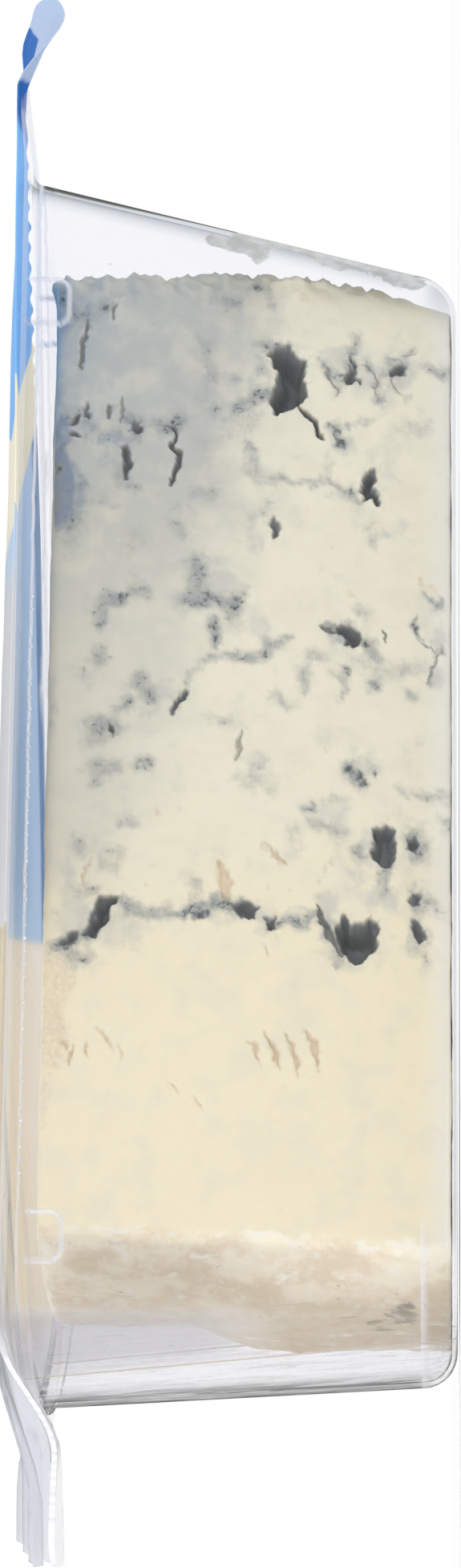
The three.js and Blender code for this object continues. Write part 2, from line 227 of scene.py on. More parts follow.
def skin(rings):
    """Points and faces of a closed shape through rings of points, each end a fan round its middle."""
    count = len(rings[0])
    points = np.vstack([rings[0].mean(axis=0)[None], *rings, rings[-1].mean(axis=0)[None]])
    here = np.arange(count)
    there = np.roll(here, -1)
    faces = []
    for ring in range(len(rings) - 1):
        start = 1 + ring * count
        quads = np.column_stack([start + here, start + there, start + count + there, start + count + here])
        faces.extend(map(tuple, quads.tolist()))
    last = len(points) - 1
    faces.extend(map(tuple, np.column_stack([0 * here, 1 + there, 1 + here]).tolist()))
    top = last - count
    faces.extend(map(tuple, np.column_stack([0 * here + last, top + here, top + there]).tolist()))
    return points, faces


def show(name, data):
    """An object of the scene that holds the mesh, lamp or camera."""
    item = bpy.data.objects.new(name, data)
    bpy.context.scene.collection.objects.link(item)
    return item


def new_piece(name, points, faces, material, smooth_angle=40):
    """A mesh object at the origin, smooth except where it turns by more than smooth_angle degrees."""
    mesh = bpy.data.meshes.new(name)
    mesh.from_pydata([tuple(p) for p in points], [], faces)
    mesh.polygons.foreach_set("use_smooth", [True] * len(mesh.polygons))
    mesh.set_sharp_from_angle(angle=math.radians(smooth_angle))
    mesh.materials.append(material)
    return show(name, mesh)


def dress(piece, slot, *nodes):
    """The piece moves with the pack and stands for the nodes; slot is not used."""
    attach(piece, "root")
    if nodes:
        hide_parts(*nodes)


def mesh_points(mesh):
    """The mesh's points as rows, in metres."""
    points = np.zeros(len(mesh.vertices) * 3)
    mesh.vertices.foreach_get("co", points)
    return points.reshape(-1, 3)


def pack_places(points):
    """Reach, across and height of rows of points, in millimetres."""
    x, y, z = points.T / MM
    return ORIGIN_REACH - x, y, z


def paint(mesh, **marks):
    """Keeps a number for each point under each name, for the finish to read."""
    for name, values in marks.items():
        mesh.attributes.new(name, "FLOAT", "POINT").data.foreach_set("value", values.astype(np.float32))


# Noise

SMOOTH_NOISE = "PERLIN_ORIGINAL"


def unevenness(points, size, octaves, offset=0.0):
    """Smooth noise from about -1 to 1 at rows of points, with bumps of the given size."""
    scaled = np.asarray(points, float) / size + offset
    return np.array([noise.fractal(Vector(p), 0.9, 2.0, octaves, noise_basis=SMOOTH_NOISE) for p in scaled])


def unevenness_along(reach, size, octaves, offset):
    """The same noise, changing along the pack only."""
    return unevenness(np.column_stack([reach, 0 * reach, 0 * reach]), size, octaves, offset)


def stray(places, size, octaves, *offsets):
    """The same noise twice, as rows by which places on a flat face can be moved about."""
    flat = np.column_stack([places, np.zeros(len(places))])
    return np.column_stack([unevenness(flat, size, octaves, offset) for offset in offsets])


# The tray

# Smears of whey inside its tip: how far in from the tip's edge, height, half length and half height
TIP_SMEARS = [
    (1.1, 18.7, 2.9, 2.9),
    (1.7, 21.4, 1.0, 3.4),
    (0.2, 15.0, 1.2, 4.5),
    (0.4, 10.0, 1.7, 6.5),
    (0.7, 5.2, 2.1, 3.4),
]


def tray_wedge(height, inset=0.0):
    """The tray's outer face at a height, pulled in by inset."""
    out = SHOULDER * float(smoothstep(height, SHOULDER_HEIGHT, SHOULDER_HEIGHT + SHOULDER_RISE)) - inset
    return Wedge(
        half_angle=TRAY_HALF_ANGLE,
        side=TRAY_SIDE + height * math.tan(math.radians(SIDE_DRAFT)) + out,
        tip=TRAY_TIP - height * math.tan(math.radians(TIP_DRAFT)) + inset,
        back=TRAY_BACK + height * math.tan(math.radians(BACK_DRAFT)) + out,
        back_radius=TRAY_BACK_RADIUS + out,
        corner=max(TRAY_CORNER + out, 1),
    )


def web_wedge(share):
    """The flange's outline at a share of the way from the rim to its outer edge."""
    rim = tray_wedge(RIM_HEIGHT)
    return Wedge(
        half_angle=TRAY_HALF_ANGLE,
        side=rim.side + FLANGE_WIDTH * share,
        tip=mix(rim.tip, FLANGE_TIP, share),
        back=mix(rim.back, WEB_BACK, share),
        back_radius=1 / mix(1 / rim.back_radius, 1 / STRAIGHT, share),
        corner=mix(rim.corner, WEB_CORNER, share),
    )


def outside_rim(reach, across):
    """How far places lie outside the tray's rim, seen from above."""
    rim = tray_wedge(RIM_HEIGHT)
    arcs = wedge_arcs(rim)
    angle = math.radians(rim.half_angle)
    sin, cos = math.sin(angle), math.cos(angle)
    side = np.abs(across) * cos - reach * sin - rim.side
    tip = np.hypot(reach - arcs.tip_centre, across) - arcs.tip_radius
    at_tip = (reach - arcs.tip_centre) * cos + np.abs(across) * sin < 0
    back = np.hypot(reach - arcs.back_centre, across) - rim.back_radius
    return np.maximum(np.where(at_tip, tip, side), back)


@dataclass(frozen=True)
class Bend:
    """How the thin web outside the rim is bent, for the tray's flange or for the film, in millimetres."""

    tip_lift: float
    near_droop: float
    droop_over: tuple
    far_rise: float
    ripple: float


FLANGE_BEND = Bend(tip_lift=0.65, near_droop=5.1, droop_over=(96.6, 107.2), far_rise=1.5, ripple=0.35)
FILM_BEND = Bend(tip_lift=0.1, near_droop=3.7, droop_over=(97.5, 112), far_rise=1.9, ripple=0.45)
TIP_LIFT_OVER = (9, 18)
FAR_RISE_OVER = (-20, 40)
TAIL_RISE_OVER = (98, 114)
NEAR_DROOP_ACROSS = 56
DROOP_CURL = 1.6
TAIL_RIPPLE_PITCH = 26


def bent(reach, across, bend):
    """How far the web is bent up at places."""
    outside = outside_rim(reach, across)
    tip = bend.tip_lift * smoothstep(-reach, *TIP_LIFT_OVER)
    far = bend.far_rise * smoothstep(across, *FAR_RISE_OVER)
    ripple = bend.ripple * np.sin(2 * math.pi * (across + 0.4 * reach) / TAIL_RIPPLE_PITCH)
    tail = smoothstep(reach, *TAIL_RISE_OVER) * (far + ripple)
    level = smoothstep(outside, 0, FLANGE_WIDTH) * (tip + tail)
    near = bend.near_droop * np.clip(-across / NEAR_DROOP_ACROSS, 0, 1)
    curl = np.clip(outside / FLANGE_WIDTH, 0, 1) ** DROOP_CURL
    return level - curl * smoothstep(reach, *bend.droop_over) * near


def side_places(start, end, spacing):
    """Even places from start to end, about a spacing apart."""
    return np.linspace(start, end, max(2, round((end - start) / spacing) + 1))


TEETH_FROM = 80  # reach along the rim from which the points are close enough for the teeth


def web_points():
    """Points round the tray and film, closer together at the tip and at the lugs."""
    arcs = wedge_arcs(tray_wedge(RIM_HEIGHT))
    reaches = np.concatenate(
        [
            side_places(arcs.side_start, LUGS[0][0] - 0.5, 0.3)[:-1],
            side_places(LUGS[0][0] - 0.5, LUGS[0][1] + 0.5, 0.25)[:-1],
            side_places(LUGS[0][1] + 0.5, TEETH_FROM, 1.2)[:-1],
            side_places(TEETH_FROM, arcs.side_end, 0.2),
        ]
    )
    stations = (reaches - arcs.side_start) / (arcs.side_end - arcs.side_start)
    return OutlinePoints(far=stations, near=stations, tip=40, corner=10, back=90)


WEB_POINTS = web_points()


def lug_press(height):
    """How far the stacking lugs stand out of the sides at a height, as a function of reach."""

    def press(reach):
        out = np.zeros_like(reach)
        for (low, high), foot in zip(LUGS, LUG_FOOTS):
            short = np.maximum(0, LUG_CORNER - np.minimum(reach - low, high - reach))
            under = np.maximum(0, LUG_CORNER - (height - foot))
            edge = LUG_CORNER - np.hypot(short, under)
            out = np.maximum(out, LUG_OUT * smoothstep(edge, 0, LUG_RAMP))
        return out

    return press


def wall_ring(height, inset):
    reach, across = wedge_outline(tray_wedge(height, inset), WEB_POINTS, lug_press(height)).T
    return place(reach, across, height)


def fillet_rings(inset):
    radius = BASE_FILLET - inset
    rings = []
    for turn in np.radians(np.linspace(0, 90, 9)):
        rings.append(wall_ring(inset + radius * (1 - math.cos(turn)), inset + radius * (1 - math.sin(turn))))
    return rings


RIM_CURL = 0.5
# Heights of the wall's rings, closer together at the lugs, the shoulder and the rim
WALL_HEIGHTS = [
    BASE_FILLET + 0.15,
    BASE_FILLET + 0.35,
    *np.linspace(BASE_FILLET, 33.8, 23)[1:],
    *np.linspace(34.1, 36.7, 14),
    *np.linspace(37.0, 37.9, 9),
    *np.linspace(38.15, 38.6, 6),
    RIM_HEIGHT - RIM_CURL,
]
WEB_SHARES = [0.1, 0.2, 0.3, 0.45, 0.6, 0.75, 0.88, 0.97, 1.0]

TOOTH = 0.18
TOOTH_PITCH = 0.75
TEETH_START = (96, 104)


def toothed(outline, share):
    """An outline with the teeth of the pinked edge of flange and film, at a share of the way to that edge."""
    ahead = np.roll(outline, -1, axis=0) - np.roll(outline, 1, axis=0)
    lengths = np.hypot(*(np.roll(outline, -1, axis=0) - outline).T)
    along = np.concatenate([[0], np.cumsum(lengths)[:-1]])
    wave = np.abs((along / TOOTH_PITCH) % 1 - 0.5) * 2
    outwards = np.column_stack([-ahead[:, 1], ahead[:, 0]]) / np.hypot(*ahead.T)[:, None]
    tail = smoothstep(outline[:, 0], *TEETH_START)
    return outline - outwards * (TOOTH * wave * tail * smoothstep(share, 0.9, 1.0))[:, None]


def web_ring(share, height, press):
    """A ring of the flange, with a share of the lugs' push outwards."""
    lugs = lug_press(RIM_HEIGHT)
    outline = wedge_outline(web_wedge(share), WEB_POINTS, lambda reach: press * lugs(reach))
    reach, across = toothed(outline, share).T
    return place(reach, across, height + bent(reach, across, FLANGE_BEND))


def tray_rings():
    """The tray's outer face, up to the flange and round its edge, and back down its inner face."""
    outer, inner = (
        fillet_rings(inset)[:-1] + [wall_ring(height, inset) for height in [BASE_FILLET, *WALL_HEIGHTS]]
        for inset in (0, WALL)
    )
    curl_under, curl_over = [], []
    curl_start = RIM_HEIGHT - RIM_CURL
    curl = RIM_CURL + WALL
    for turn in np.radians([30, 60]):
        out = RIM_CURL * (1 - math.cos(turn))
        curl_under.append(web_ring(out / FLANGE_WIDTH, curl_start + RIM_CURL * math.sin(turn), 1))
        wedge = tray_wedge(RIM_HEIGHT, curl * math.cos(turn) - RIM_CURL)
        reach, across = wedge_outline(wedge, WEB_POINTS, lug_press(RIM_HEIGHT)).T
        curl_over.append(place(reach, across, curl_start + curl * math.sin(turn)))
    under, over = (
        [web_ring(share, height, float(fade(share, 0.1, 0.3))) for share in WEB_SHARES]
        for height in (RIM_HEIGHT, RIM_HEIGHT + FLANGE_THICKNESS)
    )
    return [*outer, *curl_under, *under, *over[::-1], *curl_over[::-1], *inner[::-1]]


WALL_RINGS = len(fillet_rings(0)) + len(WALL_HEIGHTS)  # rings on each face of the wall
RIM_SHINE_HEIGHT = 38.45
FOOT_LINE_HEIGHT = 3.1
LONG_SHINE_STARTS = (11, 14)
LONG_SHINE_ENDS = (36, 44)
END_WALL_STARTS = (94, 96)


def painted_highlights(reach, across, height, outside):
    """Painted highlights: how white the plastic is painted along its lugs, shoulder, rim, foot and cut edge.
    """
    below_web = fade(outside, 0.3, 1.2)
    pressed = lug_press(height)(reach) / LUG_OUT
    lug_edge = 4 * pressed * (1 - pressed) * below_web
    lug_edge = lug_edge * (1 - smoothstep(height, 37.5, 38.0) * (reach > 50))
    rim_wobble = 0.1 * unevenness_along(reach, 1.3, 2, 8.0)
    shoulder = fade(np.abs(height - SHOULDER_HEIGHT - rim_wobble), 0.1, 0.26)
    wobble = smoothstep(unevenness(np.column_stack([reach, 0 * reach, height]), 2.4, 3, 4.0), -0.25, 0.15)
    long_shine = smoothstep(reach, *LONG_SHINE_STARTS) * fade(reach, *LONG_SHINE_ENDS) * wobble
    rim = fade(np.abs(height - RIM_SHINE_HEIGHT - rim_wobble), 0.05, 0.18)
    rim = rim * (1 - 0.6 * smoothstep(reach, 58, 64))
    near_side = 0.25 + 0.75 * (across < 0)
    above_shoulder = smoothstep(height, 37.5, 37.7) * fade(height, 38.1, 38.4)
    above_shoulder = above_shoulder * fade(reach, 29, 34) * smoothstep(reach, -4, 0)
    cut_edge = smoothstep(outside, 4.75, 4.95) * (0.3 + 0.7 * smoothstep(reach, 96, 100))
    foot = fade(height, 0.15, 0.5) * smoothstep(outside, -6.8, -5.8)
    foot_line = fade(np.abs(height - FOOT_LINE_HEIGHT), 0.05, 0.3)
    foot_line = foot_line * smoothstep(reach, 86, 90) * below_web
    sides = shoulder * (0.02 + 0.98 * long_shine) * near_side + 0.85 * rim * near_side
    white = 0.85 * lug_edge + sides + 0.08 * above_shoulder + cut_edge + 0.5 * foot + 0.4 * foot_line
    return np.clip(white, 0, 1)


def tray_marks(mesh, ring_size):
    """Notes where highlights and shade are painted on the plastic, where it lies out as the flange, curves
    tightly and is smeared.
    """
    reach, across, height = pack_places(mesh_points(mesh))
    ring = (np.arange(len(reach)) - 1) // ring_size
    inner = ring >= (len(reach) - 2) // ring_size - WALL_RINGS
    outside = outside_rim(reach, across)
    below_web = fade(outside, 0.3, 1.2)
    web = 1 - below_web
    in_from_tip = reach - (TRAY_TIP - height * math.tan(math.radians(TIP_DRAFT)))
    nose = fade(in_from_tip, 1.5, 4) * below_web * (0.3 + 0.7 * smoothstep(height, 20, 36))
    # Painted shade: a grey tint along the tip wall and in the low corner at the tip
    tip_shade = fade(in_from_tip, 0.1, 1.8) * smoothstep(height, 3, 7)
    corner_shade = fade(height, 1.2, 3.8) * fade(reach, -1, 6)
    below_rim = 1 - 0.8 * smoothstep(height, 38.1, 38.5) * (reach < 4)
    smears = np.zeros(len(reach))
    for spot_in, spot_height, long, tall in TIP_SMEARS:
        away = np.hypot((in_from_tip - spot_in) / long, (height - spot_height) / tall)
        smears = np.maximum(smears, fade(away, 0.2, 1.0))
    paint(
        mesh,
        web=web * (0.08 + 0.92 * smoothstep(reach, 22, 36)),
        shade=below_web * np.maximum(0.9 * tip_shade, 0.7 * corner_shade),
        # The bent mark holds the painted highlights along lugs, shoulder, rim, foot and cut edge
        bent=painted_highlights(reach, across, height, outside),
        nose=nose,
        walls=below_web * smoothstep(height, 1.5, 4) * (1 - 0.85 * inner * (reach < 90)) * below_rim,
        smears=smears * fade(in_from_tip, 2.5, 4.5) * below_web * (across < 1) * (1 - inner),
        streaks=smoothstep(reach, *END_WALL_STARTS) * below_web,
        tail=smoothstep(reach, 97, 102) * web,
    )


# The lid film

FILM_THICKNESS = 0.14
FILM_ON_FLANGE = RIM_HEIGHT + FLANGE_THICKNESS + 0.06
FILM_TIP_LIFT = 0.55
FILM_TIP_LIFT_REACH = (-25, 9)
FILM_WAVE = 0.16
FILM_WAVE_SIZE = 14
TAB_TWIST = 0.43
TAB_TWIST_REACH = (14.6, 17.2)
TAB_HINGE = 5.5
SCALLOP = 0.2
SCALLOP_PITCH = 1.86
SCALLOP_ENDS = (-14, -4)
MOUTH_RINGS = [0.12, 0.25, 0.37, 0.48, 0.58, 0.67, 0.75, 0.82, 0.88, 0.93, 0.97, 1.0]
BEND_POWER = 4


def film_surface(reach, across, ring):
    """The film's height over the flange's top. ring is 0 in the middle of the mouth and 1 at the seal."""
    lift = FILM_TIP_LIFT * smoothstep(-reach, *FILM_TIP_LIFT_REACH)
    wave = FILM_WAVE * unevenness(np.column_stack([reach, across, 0 * reach]), FILM_WAVE_SIZE, 2)
    bend = bent(reach, across, FILM_BEND) * ring**BEND_POWER
    uneven = 0.6 + 0.8 * np.abs(unevenness_along(reach, 4.0, 2, 3.0))
    scallop = SCALLOP * uneven * np.sin(2 * math.pi * reach / SCALLOP_PITCH)
    scallop = scallop * smoothstep(-reach, *SCALLOP_ENDS)
    edge = smoothstep(outside_rim(reach, across), 2.5, 4) * smoothstep(across, -2, 3)
    return FILM_BULGE * (1 - ring**2) + lift + wave * smoothstep(1 - ring, 0, 0.2) + bend + scallop * edge


def film_points():
    """Points round the film, close enough together for the teeth of its cut edge."""
    arcs = wedge_arcs(tray_wedge(RIM_HEIGHT))
    stations = side_places(0, 1, 0.3 / (arcs.side_end - arcs.side_start))
    return OutlinePoints(far=stations, near=stations, tip=40, corner=12, back=320)


FILM_POINTS = film_points()


def film_rings(lift):
    """One face of the film, from the middle of the mouth to its outer edge, lifted off the flange."""
    seal = [share for share in WEB_SHARES if share >= 0.2]
    mouth = wedge_outline(web_wedge(seal[0]), FILM_POINTS)
    rings = []
    for ring in MOUTH_RINGS:
        reach = mix(BULGE_REACH, mouth[:, 0], ring)
        across = mouth[:, 1] * ring
        rings.append(place(reach, across, FILM_ON_FLANGE + lift + film_surface(reach, across, ring)))
    for share in seal[1:]:
        reach, across = toothed(wedge_outline(web_wedge(share), FILM_POINTS), share).T
        outer = smoothstep(share, 0.6, 1.0)
        drawn = smoothstep(-reach, TAB_FROM, -FLANGE_TIP) * outer
        twist = TAB_TWIST * (across - TAB_HINGE) * smoothstep(-reach, *TAB_TWIST_REACH) * outer
        height = FILM_ON_FLANGE + lift + film_surface(reach, across, 1.0) + twist
        rings.append(place(reach - TAB_LENGTH * drawn, across, height))
    return rings


# The beads of the seal

BEAD_HEIGHT = 38.35
BEAD_REACH = (31, 83)
BEAD_SIZES = {"Pitch": 1.25 * MM, "Radius": 0.17 * MM, "Unevenness": 0.3, "Seed": 7}


def bead_lines():
    """The lines along the tray's two sides on which its beads stand, as a mesh of edges."""
    wedge = tray_wedge(BEAD_HEIGHT)
    angle = math.radians(wedge.half_angle)
    reach = side_places(*BEAD_REACH, 2)
    across = (wedge.side + reach * math.sin(angle)) / math.cos(angle)
    points = np.vstack([place(reach, side * across, BEAD_HEIGHT) for side in (-1, 1)])
    count = len(reach)
    edges = [(start + i, start + i + 1) for start in (0, count) for i in range(count - 1)]
    mesh = bpy.data.meshes.new("bead_lines")
    mesh.from_pydata([tuple(p) for p in points], edges, [])
    return mesh


def bead_tree(material):
    """Geometry nodes that stand a bead at every pitch along lines."""
    tree = bpy.data.node_groups.new("beads_along_lines", "GeometryNodeTree")
    sockets = {}
    tree.interface.new_socket("Geometry", in_out="INPUT", socket_type="NodeSocketGeometry")
    tree.interface.new_socket("Geometry", in_out="OUTPUT", socket_type="NodeSocketGeometry")
    for name, value in BEAD_SIZES.items():
        kind = "NodeSocketInt" if isinstance(value, int) else "NodeSocketFloat"
        sockets[name] = tree.interface.new_socket(name, in_out="INPUT", socket_type=kind).identifier

    def node(kind, settings=(), **links):
        made = tree.nodes.new(kind)
        for name, value in settings:
            setattr(made, name, value)
        for name, value in links.items():
            socket = made.inputs[name]
            if isinstance(value, bpy.types.NodeSocket):
                tree.links.new(value, socket)
            else:
                socket.default_value = value
        return made

    given = node("NodeGroupInput").outputs
    curve = node("GeometryNodeMeshToCurve", Mesh=given["Geometry"]).outputs[0]
    steps = node("GeometryNodeResampleCurve", [("mode", "LENGTH")], Curve=curve, Length=given["Pitch"])
    bead = node("GeometryNodeMeshUVSphere", Segments=8, Rings=5, Radius=given["Radius"]).outputs["Mesh"]
    smallest = node("ShaderNodeMath", [("operation", "SUBTRACT")])
    smallest.inputs[0].default_value = 1.0
    tree.links.new(given["Unevenness"], smallest.inputs[1])
    scales = node("FunctionNodeRandomValue", [("data_type", "FLOAT")], Seed=given["Seed"])
    tree.links.new(smallest.outputs[0], scales.inputs[2])
    scales.inputs[3].default_value = 1.0
    beads = node(
        "GeometryNodeInstanceOnPoints", Points=steps.outputs[0], Instance=bead, Scale=scales.outputs[1]
    )
    real = node("GeometryNodeRealizeInstances", Geometry=beads.outputs[0])
    dressed = node("GeometryNodeSetMaterial", Geometry=real.outputs[0], Material=material)
    node("NodeGroupOutput", Geometry=dressed.outputs[0])
    return tree, sockets


def seal_beads(material):
    """The row of small beads that the seal raises under the flange."""
    lines = show("bead_lines", bead_lines())
    tree, sockets = bead_tree(material)
    modifier = lines.modifiers.new("beads", "NODES")
    modifier.node_group = tree
    for name, value in BEAD_SIZES.items():
        modifier[sockets[name]] = value
    seen = lines.evaluated_get(bpy.context.evaluated_depsgraph_get())
    mesh = bpy.data.meshes.new_from_object(seen)
    bpy.data.objects.remove(lines)
    mesh.name = "seal_beads"
    mesh.polygons.foreach_set("use_smooth", [True] * len(mesh.polygons))
    return show("seal_beads", mesh)


# The cheese

# Dark holes in the near cut face, each an outline of reach and height in millimetres, with its depth
HOLES = [
    (4.5, [
        (7.4, 17.6), (6.6, 16.6), (6.5, 15.3), (7.8, 14.5), (7.9, 13.6), (9.8, 14.1), (11.4, 13.5),
        (12.4, 14.4), (12.9, 15.8), (13.4, 16.7), (12.6, 17.1), (11.9, 17.5), (10.2, 16.8), (8.8, 16.6),
    ]),
    (1.6, [(7.5, 10.2), (8.9, 9.1), (10.1, 9.3), (10.4, 10.1), (9.5, 10.5), (8.7, 9.9)]),
    (1.5, [(8.3, 5.5), (8.4, 4.6), (9.4, 4.8), (9.8, 5.8), (9.2, 6.3)]),
    (2.8, [
        (18.2, 7.6), (19.1, 7.3), (19.9, 7.5), (20.8, 7.0), (21.8, 6.9), (22.0, 7.5), (21.3, 7.9),
        (21.6, 8.7), (20.8, 8.5), (20.6, 9.0), (20.1, 8.6), (19.5, 8.8), (18.7, 8.4), (18.4, 7.9),
    ]),
    (1.2, [(22.8, 16.8), (23.6, 16.2), (24.6, 16.2), (25.4, 16.7), (24.4, 17.1), (23.6, 17.2)]),
    (1.9, [(15.9, 31.0), (16.0, 30.1), (17.8, 29.8), (19.5, 30.0), (19.3, 30.5), (17.2, 30.8)]),
    (1.5, [(13.4, 30.1), (14.4, 28.8), (15.2, 29.2), (14.9, 29.8)]),
    (1.4, [(14.1, 35.8), (13.1, 35.1), (13.3, 34.6), (14.2, 34.8)]),
    (1.4, [(13.6, 34.5), (12.0, 34.1), (12.3, 33.8), (13.8, 33.9)]),
    (1.2, [(15.2, 35.8), (14.5, 35.3), (15.2, 34.4), (15.4, 35.1)]),
    (1.2, [(13.7, 32.4), (12.1, 32.1), (12.3, 31.7), (13.6, 31.9)]),
    (2.2, [
        (33.3, 11.2), (33.1, 10.2), (33.3, 9.5), (33.8, 8.7), (34.5, 8.4), (35.1, 8.8), (35.5, 9.5),
        (34.9, 9.8), (35.0, 10.3), (34.4, 10.1), (34.1, 10.5), (33.9, 11.2),
    ]),
    (1.7, [(41.5, 26.1), (39.8, 25.5), (39.0, 24.5), (39.5, 24.2), (40.6, 25.0), (41.6, 25.8)]),
    (2.4, [
        (51.9, 7.7), (51.5, 6.4), (52.2, 5.5), (54.2, 5.5), (55.7, 6), (55.5, 7.2), (54.5, 7.8), (53, 7.6),
    ]),
    (1.3, [(52.8, 4.4), (52.7, 3.6), (53.7, 3.3), (54.6, 3.8), (53.9, 4.5)]),
    (4.0, [
        (60.6, 11.0), (59.7, 10.0), (60.5, 9.4), (60.6, 8.4), (60.0, 7.5), (61.2, 6.9), (62.8, 6.9),
        (63.7, 8.0), (64.4, 9.0), (63.7, 10.1), (62.3, 10.9),
    ]),
    (1.3, [(57.8, 4.3), (57.9, 3.4), (59.2, 3.2), (59.2, 4.1)]),
    (1.5, [(60.2, 4.3), (60.6, 3.2), (62.2, 2.6), (62.5, 3.4), (61.4, 4.2)]),
    (1.7, [(58.9, 20.2), (58.6, 19.0), (59.1, 17.8), (60.3, 18.0), (60.3, 19.5)]),
    (1.6, [(60.1, 17.4), (60.0, 16.2), (61.2, 16.0), (61.5, 17.0)]),
    (2.6, [
        (57.9, 32.0), (58.1, 30.4), (58.9, 30.4), (60.7, 31.5), (61.9, 32.5), (61.9, 34.0), (60.7, 33.1),
        (59.2, 32.6),
    ]),
    (1.5, [(62.6, 35.8), (61.4, 34.7), (61.3, 33.8), (62.2, 34.1), (62.7, 35.0)]),
    (1.0, [(46.6, 8.9), (47.0, 8.5), (47.5, 8.7), (47.2, 9.1)]),
    (1.0, [(46.6, 7.5), (47.0, 7.2), (47.5, 7.4), (47.1, 7.8)]),
    (1.0, [(42.2, 31.7), (42.6, 30.8), (43.5, 31.0), (43.1, 31.7)]),
    (1.0, [(59.4, 23.5), (59.5, 22.6), (60.2, 22.5), (60.2, 23.4)]),
]

# Cracks in that face: width, depth, darkness and the line that each follows
CRACKS = [
    (0.3, 1.4, 1.0, [(12.2, 14.9), (13.1, 13.8), (14.0, 13.0), (14.8, 12.7), (15.6, 12.3)]),
    (0.08, 0.35, 0.6, [(13.7, 11.6), (14.8, 11.3), (15.8, 10.8), (16.4, 11.3)]),
    (0.12, 0.4, 0.7, [(8.2, 12.2), (8.9, 11.8), (9.7, 11.7), (10.7, 11.0), (11.6, 11.0)]),
    (0.24, 0.8, 0.9, [(7.6, 10.0), (8.4, 9.4), (9.2, 9.9), (9.9, 9.4), (10.3, 8.9)]),
    (0.1, 0.35, 0.6, [(8.3, 9.0), (8.4, 8.4), (9.4, 7.6), (10.1, 7.5), (10.9, 7.6), (11.8, 7.4)]),
    (0.1, 0.35, 0.6, [(7.8, 6.5), (7.9, 5.5), (8.6, 5.0), (9.4, 5.9), (10.2, 6.0), (10.9, 5.5), (11.6, 4.9)]),
    (0.08, 0.3, 0.5, [(7.6, 5.0), (7.4, 3.8)]),
    (0.08, 0.3, 0.6, [(32.4, 3.6), (34.1, 3.6), (35.2, 2.8), (36.1, 1.9)]),
    (0.1, 0.3, 0.7, [(35.3, 1.4), (36.1, 1.7), (37.5, 2.1), (38.8, 2.8)]),
    (0.28, 1.2, 0.9, [(14.4, 26.1), (15.6, 25.8), (16.3, 26.2), (16.9, 25.5), (18.4, 25.8), (20.0, 26.2)]),
    (0.25, 0.6, 0.6, [(4.2, 34.1), (6.6, 34.6), (8.8, 34.7)]), (0.2, 0.5, 0.5, [(2.2, 31.6), (3.9, 31.8)]),
    (0.2, 0.5, 0.4, [(11.4, 30.7), (13.8, 30.8)]),
    (0.3, 0.8, 0.6, [(34.0, 10.8), (33.6, 11.8), (33.3, 12.5)]),
    (0.14, 0.5, 0.9, [(33.7, 6.9), (34.3, 6.4), (35.0, 6.6)]),
    (0.25, 0.6, 0.35, [(43.0, 19.5), (44.1, 19.7), (45.6, 19.9)]),
    (0.35, 0.8, 0.8, [(58.9, 12.6), (60.4, 12.0), (62.1, 11.1), (63.6, 10.3)]),
    (0.08, 0.2, 0.08, [(60.0, 30.3), (59.9, 26.8), (59.7, 23.3), (59.6, 20.5)]),
]

# Gouges left by the cutting wire, whose walls stay the colour of the paste, only a little more tan
GOUGES = [
    (0.5, 0.55, [(70.5, 17.0), (72.2, 16.1), (73.8, 15.9)]),
    (0.45, 0.5, [(70.6, 15.3), (72.2, 14.4), (74.4, 14.2)]),
    (0.5, 0.5, [(70.2, 13.5), (71.5, 12.8), (74.1, 12.3)]),
    (0.4, 0.45, [(71.2, 18.7), (71.5, 17.9), (73.4, 17.5)]),
    (0.3, 0.35, [(70.0, 32.0), (70.9, 31.1), (72.0, 30.7)]), (0.25, 0.3, [(71.4, 30.2), (73.0, 29.7)]),
    (0.3, 0.25, [(74.8, 25.5), (75.8, 24.7)]), (0.3, 0.25, [(76.2, 23.5), (77.6, 22.5)]),
    (1.1, 0.5, [(55.2, 21.4), (56.8, 20.8), (58.8, 20.6)]),
    (0.45, 0.45, [(53.4, 17.0), (54.6, 16.2), (55.3, 15.3)]), (0.3, 0.3, [(62.4, 17.3), (63.6, 16.8)]),
    (0.35, 0.3, [(54.6, 32.9), (56.2, 33.6), (57.6, 33.3)]), (0.35, 0.4, [(70.9, 35.2), (72.0, 34.7)]),
    (0.4, 0.45, [(71.4, 34.2), (72.6, 34.3), (73.4, 34.5)]), (0.35, 0.4, [(71.4, 33.0), (72.6, 32.9)]),
]

